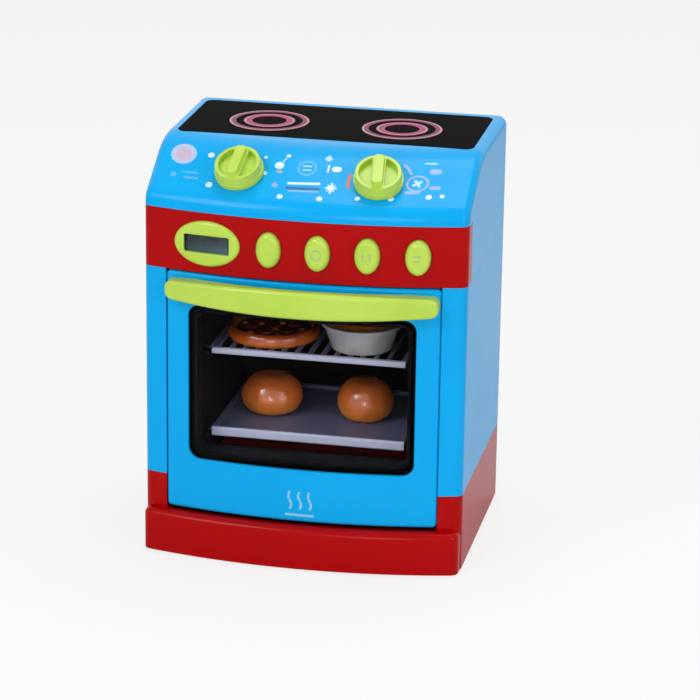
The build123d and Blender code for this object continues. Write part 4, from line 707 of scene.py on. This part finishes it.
for name, roll in rolls.items():
    low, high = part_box(name)
    radius = (high.x - low.x) / 2 / mm
    height = (high.z - low.z) / mm
    centre = Vector(((low.x + high.x) / 2, (low.y + high.y) / 2, low.z))
    profile = smoothProfile([
        (0, 0.15), (0.5 * radius, 0.1), (0.66 * radius, 0.5), (0.86 * radius, 0.13 * height),
        (0.985 * radius, 0.34 * height), (0.97 * radius, 0.55 * height),
        (0.8 * radius, 0.8 * height), (0.5 * radius, 0.95 * height), (0, 0.995 * height),
    ], 1.0)

    def rollShape(angle, r, h, roll=roll, radius=radius, height=height):
        fade = min(1.0, r / (0.3 * radius))
        lump = -abs(soft(angle, 1.1, h / height, roll["seed"])) * roll["lumpMm"] * fade
        across = r * math.sin(angle - math.radians(roll["creaseDeg"]))
        crease = roll["creaseMm"] * math.exp(-((across / roll["creaseWidthMm"]) ** 2))
        crease *= max(0.0, h / height - 0.55) / 0.45
        crease *= max(0.0, 1 - (r / (0.75 * radius)) ** 2)
        return max(0.0, r + lump), h - crease - 0.25 * fade * (h / height)

    points, faces = turnedMesh(centre, profile, around=96, shape=rollShape)
    crust = airbrushedFood(name + "Lacquer", bakedFinishes["bunCrustWithPaintedReflection"], low.z, high.z)
    piece = meshPiece(name + "_bun", points, faces, [crust])
    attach(piece, "lower_tray")
    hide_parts(name)
print("rolls made")

pizzaShape = {  # spots are (reach in mm, degrees) from the middle
    "seed": 5.3, "rimWidthMm": 5.0, "sauceDropMm": 2.4, "crustLumpMm": 0.7, "sauceLumpMm": 0.35,
    "salamiRadiusMm": 4.3, "salamiRiseMm": 1.2,
    "salami": [(0, 0), (13.5, 20), (14.5, 80), (13, 142), (14.5, 205), (13.5, 262), (14, 318)],
    "cheeseRadiusMm": 2.0, "cheeseRiseMm": 1.1,
    "cheese": [
        (7.5, 50), (8, 170), (7.5, 290), (19.5, 50), (20, 112), (19, 175), (20, 235), (19.5, 292),
        (19.5, 350),
    ],
}
low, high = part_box("pizza")
pizzaRadius = (high.x - low.x) / 2 / mm
pizzaHeight = (high.z - low.z) / mm
pizzaCentre = Vector(((low.x + high.x) / 2, (low.y + high.y) / 2, low.z))
rimInner = pizzaRadius - pizzaShape["rimWidthMm"]
sauceLevel = pizzaHeight - pizzaShape["sauceDropMm"]
crustProfile = smoothProfile([
    (0, 0.1), (0.6 * pizzaRadius, 0.1), (pizzaRadius - 2.2, 0.15), (pizzaRadius - 0.5, 1.4),
    (pizzaRadius - 0.1, 3.6), (pizzaRadius - 0.5, 6.0), (pizzaRadius - 1.7, 8.1), (pizzaRadius - 3.1, 8.8),
    (pizzaRadius - 4.4, 8.3), (rimInner - 0.3, sauceLevel + 0.2), (rimInner - 2.5, sauceLevel - 0.5),
    (0.5 * rimInner, sauceLevel - 0.6), (0, sauceLevel - 0.6),
], 1.0)


def crustShape(angle, r, h):
    edge = max(0.0, (r - rimInner + 2) / (pizzaRadius - rimInner + 2))
    bubble = abs(soft(angle, 2.6, 0.1, pizzaShape["seed"])) + 0.5 * abs(soft(angle, 6.0, h * 0.1, 1.7))
    return r - edge * bubble * pizzaShape["crustLumpMm"], h - edge * bubble * 0.8 * (h / pizzaHeight)


def sauceShape(angle, r, h):
    ripple = noise.noise(Vector((r * math.cos(angle) * 0.35, r * math.sin(angle) * 0.35, 2.2)))
    outer = 0.6 * soft(angle, 4.0, 0.0, 9.1) * (r / rimInner) ** 6
    return r - abs(outer), h + (pizzaShape["sauceLumpMm"] * ripple if h > 0.5 * sauceLevel else 0.0)


sauceProfile = smoothProfile([
    (0, sauceLevel - 1.6), (0.6 * rimInner, sauceLevel - 1.6), (rimInner - 1.6, sauceLevel - 1.5),
    (rimInner - 0.9, sauceLevel - 0.6), (rimInner - 1.5, sauceLevel - 0.05), (rimInner - 4.0, sauceLevel),
    (0.5 * rimInner, sauceLevel), (0, sauceLevel),
], 1.2)
bakedCrust = airbrushedFood("pizzaCrustLacquer", bakedFinishes["pizzaCrust"], low.z, high.z)
bakedSauce = airbrushedFood("pizzaSauceLacquer", bakedFinishes["pizzaSauce"], low.z, high.z)
salamiRed = airbrushedFood("salamiLacquer", bakedFinishes["pizzaSalami"], low.z, high.z)
cheeseGold = airbrushedFood("cheeseLacquer", bakedFinishes["pizzaCheese"], low.z, high.z)

points, faces = turnedMesh(pizzaCentre, crustProfile, around=144, shape=crustShape)
pizzaCrust = meshPiece("pizza_crust", points, faces, [bakedCrust])
points, faces = turnedMesh(pizzaCentre, sauceProfile, around=96, shape=sauceShape)
pizzaSauce = meshPiece("pizza_sauce", points, faces, [bakedSauce])


def toppingSpots(spots, radius, rise, seed):
    # flat rounds pressed into the sauce, each with its own slightly uneven edge
    allPoints = []
    allFaces = []
    for number, (reach, degrees) in enumerate(spots):
        turn = math.radians(degrees)
        spot = pizzaCentre + Vector((
            reach * math.cos(turn) * mm, reach * math.sin(turn) * mm, (sauceLevel - 0.7) * mm,
        ))
        outline = smoothProfile([
            (0, 0.0), (0.7 * radius, 0.0), (0.97 * radius, 0.25 * rise), (radius, 0.6 * rise),
            (0.93 * radius, 0.9 * rise), (0.7 * radius, rise), (0.3 * radius, 0.93 * rise), (0, 0.9 * rise),
        ], 0.7)

        def spotShape(angle, r, h, number=number):
            return r * (1 - 0.12 * abs(soft(angle, 1.5, number * 1.3, seed))), h

        points, faces = turnedMesh(spot, outline, around=40, shape=spotShape)
        first = len(allPoints)
        allPoints += points
        allFaces += [tuple(index + first for index in face) for face in faces]
    return allPoints, allFaces


points, faces = toppingSpots(
    pizzaShape["salami"], pizzaShape["salamiRadiusMm"], pizzaShape["salamiRiseMm"], seed=2.0
)
pizzaSalami = meshPiece("pizza_salami", points, faces, [salamiRed])
points, faces = toppingSpots(
    pizzaShape["cheese"], pizzaShape["cheeseRadiusMm"], pizzaShape["cheeseRiseMm"], seed=6.0
)
pizzaCheese = meshPiece("pizza_cheese", points, faces, [cheeseGold])
for piece in (pizzaCrust, pizzaSauce, pizzaSalami, pizzaCheese):
    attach(piece, "upper_rack")
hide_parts("pizza")
print("pizza made")

pieShape = {  # a domed lid, crimped round its rim, with slits across the dome
    "domeMm": 5.0, "footInsetMm": 4.65, "crimps": 30, "crimpMm": 0.55,
    "slits": 4, "slitMm": 0.6, "slitStartMm": 3.0, "slitLengthMm": 6.5, "slitWidthMm": 0.7,
}
low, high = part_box("pie")
pieRadius = (high.x - low.x) / 2 / mm
pieHeight = (high.z - low.z) / mm
pieEdge = pieHeight - pieShape["domeMm"]
pieCentre = Vector(((low.x + high.x) / 2, (low.y + high.y) / 2, low.z))
pieFoot = pieRadius - pieShape["footInsetMm"]
pieProfile = smoothProfile([
    (0, 0.05), (0.6 * pieFoot, 0.05), (pieFoot - 0.4, 0.1), (pieFoot + 0.1, 0.7),
    ((pieFoot + pieRadius) / 2, 0.5 * pieEdge), (pieRadius - 0.35, pieEdge - 1.2), (pieRadius - 0.3, pieEdge),
    (pieRadius - 1.3, pieEdge + 0.85), (pieRadius - 2.8, pieEdge + 0.9), (pieRadius - 4.2, pieEdge + 1.2),
    (0.72 * pieRadius, pieEdge + 2.6), (0.4 * pieRadius, pieEdge + 4.3), (0, pieEdge + 4.9),
], 0.7)


def crimpedPie(angle, r, h):
    onTop = h > pieEdge - 0.5
    rim = math.exp(-(((r - pieRadius + 1.8) / 1.4) ** 2)) if onTop else 0.0
    crimp = 0.5 - 0.5 * math.cos(angle * pieShape["crimps"])
    sink = rim * pieShape["crimpMm"] * crimp
    if onTop:
        for number in range(pieShape["slits"]):
            turn = math.radians(45 + 90 * number)
            along = r * math.cos(angle - turn)
            across = r * math.sin(angle - turn)
            if 0 < along - pieShape["slitStartMm"] < pieShape["slitLengthMm"]:
                sink += pieShape["slitMm"] * math.exp(-((across / pieShape["slitWidthMm"]) ** 2))
        sink += 0.25 * abs(noise.noise(Vector((r * math.cos(angle) * 0.12, r * math.sin(angle) * 0.12, 3.0))))
    return r, h - sink


points, faces = turnedMesh(pieCentre, pieProfile, around=240, shape=crimpedPie)
pieLacquer = airbrushedFood("pieCrustLacquer", bakedFinishes["pieCrust"], low.z + pieEdge * mm * 0.8, high.z)
pieTop = meshPiece("pie_crust", points, faces, [pieLacquer])
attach(pieTop, "upper_rack")
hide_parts("pie")
print("pie made")

inkColours = {
    "paleInk": {"colour": "#B4DCF2", "thin": "#8FCDEF"},
    "whiteInk": {"colour": "#DCEDF5", "thin": "#B8DFF2"},
    "hazeInk": {"colour": "#93CDE9", "thin": "#5FB9E8"},
    "stickerInk": {"colour": "#B9C6E0", "thin": "#A6BCE0"},
    "pinkInk": {"colour": "#CBAFC6", "thin": "#BDB2D0"},
    "tanInk": {"colour": "#C9A793", "thin": "#BDA79C"},
    "navyInk": {"colour": "#123F7C", "thin": "#1A5296"},
    "orangeInk": {"colour": "#E0672B", "thin": "#D4542C"},
    "lilacInk": {"colour": "#93AEDD", "thin": "#7FB0E2"},
    "softBlueInk": {"colour": "#5DB7EA", "thin": "#4BB1EA"},
    "mistInk": {"colour": "#9DB88C", "thin": "#ACC872"},
}
inkLook = {"coverMm": 1.6, "grainMm": 0.5, "grainDepthMm": 0.01, "roughness": 0.38, "ior": 1.5}


def padPrintedInk(name, colours):
    # Pad-printed ink on gloss plastic. The eye gets a flatter, slightly duller patch whose
    # cover thins in places, so that a little of the body colour comes through.
    material, tree, shader, place = newMaterial(name)
    cover = addNode(
        tree, "ShaderNodeTexNoise",
        inputs={"Scale": perMetre(inkLook["coverMm"]), "Detail": 4.0}, links={"Vector": place},
    )
    colour = addNode(
        tree, "ShaderNodeValToRGB", links={"Fac": cover.outputs["Fac"]},
        stops=[(0.35, srgb(colours["thin"])), (0.55, srgb(colours["colour"]))],
    )
    tree.links.new(colour.outputs["Color"], shader.inputs["Base Color"])
    raiseGrain(tree, shader, place, inkLook["grainMm"], inkLook["grainDepthMm"], detail=2.0)
    shader.inputs["Roughness"].default_value = inkLook["roughness"]
    shader.inputs["IOR"].default_value = inkLook["ior"]
    return material


inks = {name: padPrintedInk(name, colours) for name, colours in inkColours.items()}


def surfaceOf(nodeName):
    mesh = nodes[nodeName].data
    return BVHTree.FromPolygons([v.co for v in mesh.vertices], [p.vertices for p in mesh.polygons])


panel = {"slopeDeg": 32.0, "noseRadiusMm": 12.0, "noseStartMm": 230.0, "bowDepthMm": 13.5}
slope = math.radians(panel["slopeDeg"])
low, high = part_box("top_housing")
bowMm = low.y / mm  # the middle of the bowed front
bowRadiusMm = ((high.x / mm) ** 2 + panel["bowDepthMm"] ** 2) / (2 * panel["bowDepthMm"])
noseEndY = bowMm + panel["noseRadiusMm"] * (1 - math.sin(slope))
noseEndZ = panel["noseStartMm"] + panel["noseRadiusMm"] * math.cos(slope)


rayStart = {"panel": 0.01, "front": -0.2}  # metres off the panel, and the y of a ray to the front


def panelRay(across, up):
    # a point on the sloped panel, by mm across and mm up the slope, and the way into it
    midY = noseEndY + up * math.cos(slope)
    midZ = noseEndZ + up * math.sin(slope)
    swing = bowMm + bowRadiusMm - midY
    turn = math.asin(across / swing)
    place = Vector((across, bowMm + bowRadiusMm - swing * math.cos(turn), midZ)) * mm
    out = Vector((math.sin(slope) * math.sin(turn), -math.sin(slope) * math.cos(turn), math.cos(slope)))
    return place + out * rayStart["panel"], -out


def frontRay(across, height):
    # the same for faces that look forwards, by mm across and mm above the table
    return Vector((across * mm, rayStart["front"], height * mm)), Vector((0, 1, 0))


printed = {  # how thick the ink lies, and how finely a mark is cut to follow a bowed face
    "riseMm": 0.08, "stepMm": 0.006, "sinkMm": 0.15,
    "stepsPerMm": 5, "ringMm": 2.5, "runMm": 1.5, "endSteps": 4, "endShare": 0.12,
}


def disc(x, y, radius):
    # filled round, as rings about its middle
    rings = max(1, math.ceil(radius / printed["ringMm"]))
    steps = max(20, round(radius * printed["stepsPerMm"]))
    points = [(x, y)]
    faces = []
    for ring in range(1, rings + 1):
        for step in range(steps):
            angle = 2 * math.pi * step / steps
            reach = radius * ring / rings
            points.append((x + reach * math.cos(angle), y + reach * math.sin(angle)))
    for step in range(steps):
        ahead = (step + 1) % steps
        faces.append((0, 1 + step, 1 + ahead))
        for ring in range(rings - 1):
            inner = 1 + ring * steps
            faces.append((inner + step, inner + steps + step, inner + steps + ahead, inner + ahead))
    return points, faces


def hoop(x, y, radius, line, start=0.0, end=360.0):
    # ring, or an arc of one between two angles
    whole = abs(end - start) >= 360
    steps = max(8, round(radius * printed["stepsPerMm"] * abs(end - start) / 360) + 8)
    points = []
    faces = []
    count = steps if whole else steps + 1
    for step in range(count):
        angle = math.radians(start + (end - start) * step / steps)
        for reach in (radius - line / 2, radius + line / 2):
            points.append((x + reach * math.cos(angle), y + reach * math.sin(angle)))
    for step in range(steps):
        ahead = (step + 1) % count
        faces.append((2 * step, 2 * step + 1, 2 * ahead + 1, 2 * ahead))
    return points, faces


def stroke(corners, line):
    # round-ended line through the corners
    path = [Vector(corner) for corner in corners]
    length = sum((b - a).length for a, b in zip(path, path[1:]))
    half = line / 2
    ends = printed["endSteps"]
    places = [half * (1 - math.cos(math.pi / 2 * k / ends)) for k in range(ends)]
    inner = max(1, math.ceil((length - line) / printed["runMm"]))
    places += [half + (length - line) * k / inner for k in range(inner + 1)]
    places += [length - place for place in reversed(places[:ends])]
    points = []
    faces = []
    for place in places:
        rest = place
        for a, b in zip(path, path[1:]):
            run = (b - a).length
            if rest <= run + 1e-9 or b is path[-1]:
                break
            rest -= run
        direction = (b - a).normalized()
        middle = a + direction * rest
        toEnd = min(place, length - place)
        tip = printed["endShare"] * half
        reach = half if toEnd >= half else math.sqrt(max(half**2 - (half - toEnd) ** 2, tip**2))
        side = Vector((-direction.y, direction.x)) * reach
        points += [tuple(middle - side), tuple(middle + side)]
    for step in range(len(places) - 1):
        faces.append((2 * step, 2 * step + 2, 2 * step + 3, 2 * step + 1))
    return points, faces


def layPrint(name, shapes, ray, nodeName, body, inkName, underMm=0.0):
    # lays flat shapes on a CAD surface as one thin closed piece of ink
    surface = surfaceOf(nodeName)
    points = []
    faces = []
    for number, (flatPoints, flatFaces) in enumerate(shapes):
        rise = (printed["riseMm"] + printed["stepMm"] * number + underMm) * mm
        first = len(points)
        tops = []
        bottoms = []
        for flat in flatPoints:
            origin, inward = ray(*flat)
            hit = surface.ray_cast(origin, inward)[0]
            if hit is None:
                raise RuntimeError(name + " reaches past the surface of " + nodeName)
            tops.append(hit - inward * rise)
            bottoms.append(hit + inward * printed["sinkMm"] * mm)
        count = len(tops)
        points += tops + bottoms
        edges = {}
        a, b, c = (tops[index] for index in flatFaces[0][:3])
        turned = (b - a).cross(c - a).dot(ray(*flatPoints[0])[1]) > 0
        for face in flatFaces:
            face = tuple(reversed(face)) if turned else face
            faces.append(tuple(first + index for index in face))
            faces.append(tuple(first + count + index for index in reversed(face)))
            for start, end in zip(face, face[1:] + face[:1]):
                edges[(start, end)] = edges.get((start, end), 0) + 1
        for start, end in edges:
            if (end, start) not in edges:
                faces.append((first + end, first + start, first + count + start, first + count + end))
    piece = meshPiece(name, points, faces, [inks[inkName]], smooth=False)
    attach(piece, body)
    return piece


panelMarks = {  # mm across and up the slope of the control panel
    "sticker_disc": ("stickerInk", [disc(-84, 29.6, 8.6)]),
    "knob_dots": ("whiteInk", [
        disc(-65.6, 31.2, 2.2), disc(-61.8, 6.5, 2.2), disc(-28.3, 20.9, 1.6), disc(-30.0, 34.2, 1.2),
        disc(33.5, 4.6, 1.7), disc(53.8, 5.4, 1.9), disc(76.4, 7.5, 1.9), disc(84.4, 8.3, 1.5),
        disc(-14.9, 2.4, 1.9), disc(10.1, 2.7, 1.9),
    ]),
    "timer_bars": ("softBlueInk", [
        disc(-87.0, 11.5, 1.9), stroke([(-81, 14.6), (-71, 14.9)], 1.5),
        stroke([(-80, 10.2), (-70, 10.6)], 1.5),
    ]),
    "bulb_mark": ("whiteInk", [
        disc(-20.0, 28.2, 3.0), disc(-15.8, 37.2, 1.5), stroke([(-18.2, 31.6), (-16.6, 35.0)], 0.8),
    ]),
    "bulb_foot": ("tanInk", [stroke([(-21.0, 22.9), (-17.2, 23.1)], 1.6)]),
    "grill_ring": ("softBlueInk", [hoop(-2.2, 27.6, 5.6, 1.2)]),
    "grill_lines": ("paleInk", [
        stroke([(-5.2, 29.2), (0.8, 29.4)], 1.1), stroke([(-5.0, 25.9), (0.9, 26.1)], 1.1),
    ]),
    "drop_mark": ("paleInk", [disc(9.9, 37.0, 2.3), stroke([(9.9, 37.5), (9.9, 40.6)], 1.3)]),
    "pot_mark": ("whiteInk", [
        stroke([(13.4, 28.1), (19.6, 28.2)], 4.4), stroke([(11.2, 25.0), (11.2, 31.5)], 1.2),
    ]),
    "slider_light": ("whiteInk", [stroke([(-12.4, 14.0), (8.6, 15.2)], 2.0)]),
    "slider_slot": ("navyInk", [stroke([(-12.8, 10.1), (8.8, 10.9)], 1.5)]),
    "slider_edge": ("lilacInk", [stroke([(-10.5, 7.6), (8.8, 8.4)], 1.1), disc(-19.8, 11.7, 1.9)]),
    "star_mark": ("whiteInk", [
        stroke([(15.6, 7.6), (15.6, 16.6)], 1.5), stroke([(11.8, 12.1), (19.4, 12.1)], 1.5),
        stroke([(13.2, 9.4), (18.0, 14.8)], 1.0), stroke([(13.2, 14.8), (18.0, 9.4)], 1.0),
    ]),
    "heat_arc": ("orangeInk", [hoop(44, 19, 18.6, 1.8, 163, 200)]),
    "right_arc": ("lilacInk", [hoop(44, 19, 20.2, 1.8, 20, 50)]),
    "fan_ring": ("lilacInk", [hoop(67.8, 18.6, 6.2, 1.3)]),
    "fan_blades": ("paleInk", [
        stroke([(64.9, 16.6), (70.7, 20.6)], 1.9), stroke([(65.8, 21.5), (69.8, 15.7)], 1.9),
    ]),
    "fan_base": ("lilacInk", [stroke([(61.0, 10.6), (70.6, 11.4)], 2.4)]),
    "tray_bars": ("paleInk", [stroke([(69.6, 35.9), (77.2, 35.6)], 1.4)]),
    "tray_patch": ("lilacInk", [
        stroke([(73.6, 28.8), (81.0, 28.6)], 4.4), stroke([(75.6, 15.0), (82.4, 15.2)], 2.6),
    ]),
}
for name, (inkName, shapes) in panelMarks.items():
    layPrint("print_" + name, shapes, panelRay, "top_housing", "oven", inkName)
layPrint(
    "print_sticker_middle", [disc(-84, 29.6, 5.2)], panelRay, "top_housing", "oven",
    "pinkInk", underMm=0.05,
)

doorMark = [  # three heat waves over a bar, the common sign for an oven
    stroke([(x + 1.0 * math.sin(k * math.pi / 6), 39.0 + k * 1.0) for k in range(13)], 1.5)
    for x in (-5.2, 1.2, 7.6)
] + [stroke([(-8.2, 35.2), (10.6, 35.2)], 1.7)]
layPrint("print_heat_waves", doorMark, frontRay, "door_shell", "door", "hazeInk")

buttonMarks = {  # common signs, faint on the lime caps
    "button_2": [hoop(11, 209, 3.0, 0.9)],
    "button_3": [stroke([(39.8, 206.2), (39.8, 211.8)], 1.1), stroke([(44.2, 206.2), (44.2, 211.8)], 1.1)],
    "button_4": [stroke([(70.6, 207.4), (75.4, 207.4)], 1.0), stroke([(70.6, 210.6), (75.4, 210.6)], 1.0)],
}
for name, shapes in buttonMarks.items():
    layPrint("print_" + name, shapes, frontRay, name, name, "mistInk")
print("marks laid")

studio = {
    "floorHalf": 9.0, "floorCells": 6, "floorColour": "#E9E9E8", "floorPale": "#EEEEED",
    "floorCloudMm": 400, "floorWhiten": 0.78, "ambient": 0.34, "aim": (0, 0, 0.13),
    "lamps": {
        "frontLamp": {"place": (0.15, -2.3, 0.62), "size": 0.7, "power": 6.9},
        "keyLamp": {"place": (-1.1, -1.7, 1.6), "size": 1.0, "power": 19.3},
        "fillLamp": {"place": (1.6, -1.2, 0.9), "size": 1.2, "power": 11},
        "topLamp": {"place": (0.2, 0.4, 1.9), "size": 1.3, "power": 14},
    },
}

cells = studio["floorCells"]
marks = [studio["floorHalf"] * (2 * index / cells - 1) for index in range(cells + 1)]
floorPoints = [(x, y, 0.0) for y in marks for x in marks]
floorFaces = [
    (j * (cells + 1) + i, j * (cells + 1) + i + 1, (j + 1) * (cells + 1) + i + 1, (j + 1) * (cells + 1) + i)
    for j in range(cells) for i in range(cells)
]
# Background paper: matt, with a cloudy tone too faint to read as a pattern.
floorPaper, tree, shader, place = newMaterial("palePaper")
cloud = addNode(
    tree, "ShaderNodeTexNoise",
    inputs={"Scale": perMetre(studio["floorCloudMm"]), "Detail": 2.0}, links={"Vector": place},
)
tone = addNode(
    tree, "ShaderNodeMix", settings={"data_type": "RGBA"},
    inputs={6: srgb(studio["floorColour"]), 7: srgb(studio["floorPale"])},
    links={0: cloud.outputs["Fac"]},
)
tree.links.new(tone.outputs[2], shader.inputs["Base Color"])
shader.inputs["Roughness"].default_value = 0.9
path = addNode(tree, "ShaderNodeLightPath")
whiten = addNode(
    tree, "ShaderNodeMath", settings={"operation": "MULTIPLY"}, inputs={1: studio["floorWhiten"]},
    links={0: path.outputs["Is Camera Ray"]},
)
glow = addNode(tree, "ShaderNodeEmission", inputs={"Color": (1, 1, 1, 1), "Strength": 1.0})
paper = addNode(
    tree, "ShaderNodeMixShader",
    links={0: whiten.outputs["Value"], 1: shader.outputs[0], 2: glow.outputs[0]},
)
tree.links.new(paper.outputs[0], tree.nodes["Material Output"].inputs["Surface"])
floor = meshPiece("floor_paper", floorPoints, floorFaces, [floorPaper], smooth=False)

world = bpy.data.worlds.new("studioAir")
bpy.context.scene.world = world
world.use_nodes = True
tree = world.node_tree
tree.nodes.clear()
path = addNode(tree, "ShaderNodeLightPath")
seen = addNode(
    tree, "ShaderNodeMath", settings={"operation": "MAXIMUM"},
    links={0: path.outputs["Is Camera Ray"], 1: path.outputs["Is Glossy Ray"]},
)
seenThrough = addNode(
    tree, "ShaderNodeMath", settings={"operation": "MAXIMUM"},
    links={0: seen.outputs["Value"], 1: path.outputs["Is Transmission Ray"]},
)
level = addNode(
    tree, "ShaderNodeMapRange", inputs={"To Min": studio["ambient"], "To Max": 1.0},
    links={"Value": seenThrough.outputs["Value"]},
)
air = addNode(
    tree, "ShaderNodeBackground", inputs={"Color": (1, 1, 1, 1)},
    links={"Strength": level.outputs["Result"]},
)
addNode(tree, "ShaderNodeOutputWorld", links={"Surface": air.outputs["Background"]})

for name, lamp in studio["lamps"].items():
    light = bpy.data.lights.new(name, "AREA")
    light.shape = "DISK"
    light.size = lamp["size"]
    light.energy = lamp["power"]
    lampObject = bpy.data.objects.new(name, light)
    lampObject.location = lamp["place"]
    beam = Vector(studio["aim"]) - Vector(lamp["place"])
    lampObject.rotation_euler = beam.to_track_quat("-Z", "Y").to_euler()
    bpy.context.scene.collection.objects.link(lampObject)

view = {  # degrees, metres, and lens and sensor in mm
    "azimuth": 11.38, "elevation": 18.44, "roll": 0.82, "distance": 2.027,
    "target": (0.0176, 0.0030, 0.1231), "lens": 161.38, "sensor": 36, "clipEnd": 50,
}
azimuth, elevation, roll = (math.radians(view[key]) for key in ("azimuth", "elevation", "roll"))
back = Vector((
    math.sin(azimuth) * math.cos(elevation), -math.cos(azimuth) * math.cos(elevation), math.sin(elevation),
))
level = Vector((math.cos(azimuth), math.sin(azimuth), 0))
upright = back.cross(level)
across = level * math.cos(roll) + upright * math.sin(roll)
upwards = upright * math.cos(roll) - level * math.sin(roll)
camera = bpy.data.objects.new("camera", bpy.data.cameras.new("camera"))
camera.data.lens = view["lens"]
camera.data.sensor_width = view["sensor"]
camera.data.clip_end = view["clipEnd"]
turn = Matrix((across, upwards, back)).transposed().to_4x4()
camera.matrix_world = Matrix.Translation(Vector(view["target"]) + back * view["distance"]) @ turn
bpy.context.scene.collection.objects.link(camera)
bpy.context.scene.camera = camera
bpy.context.scene.view_settings.view_transform = "Standard"
print("studio set")
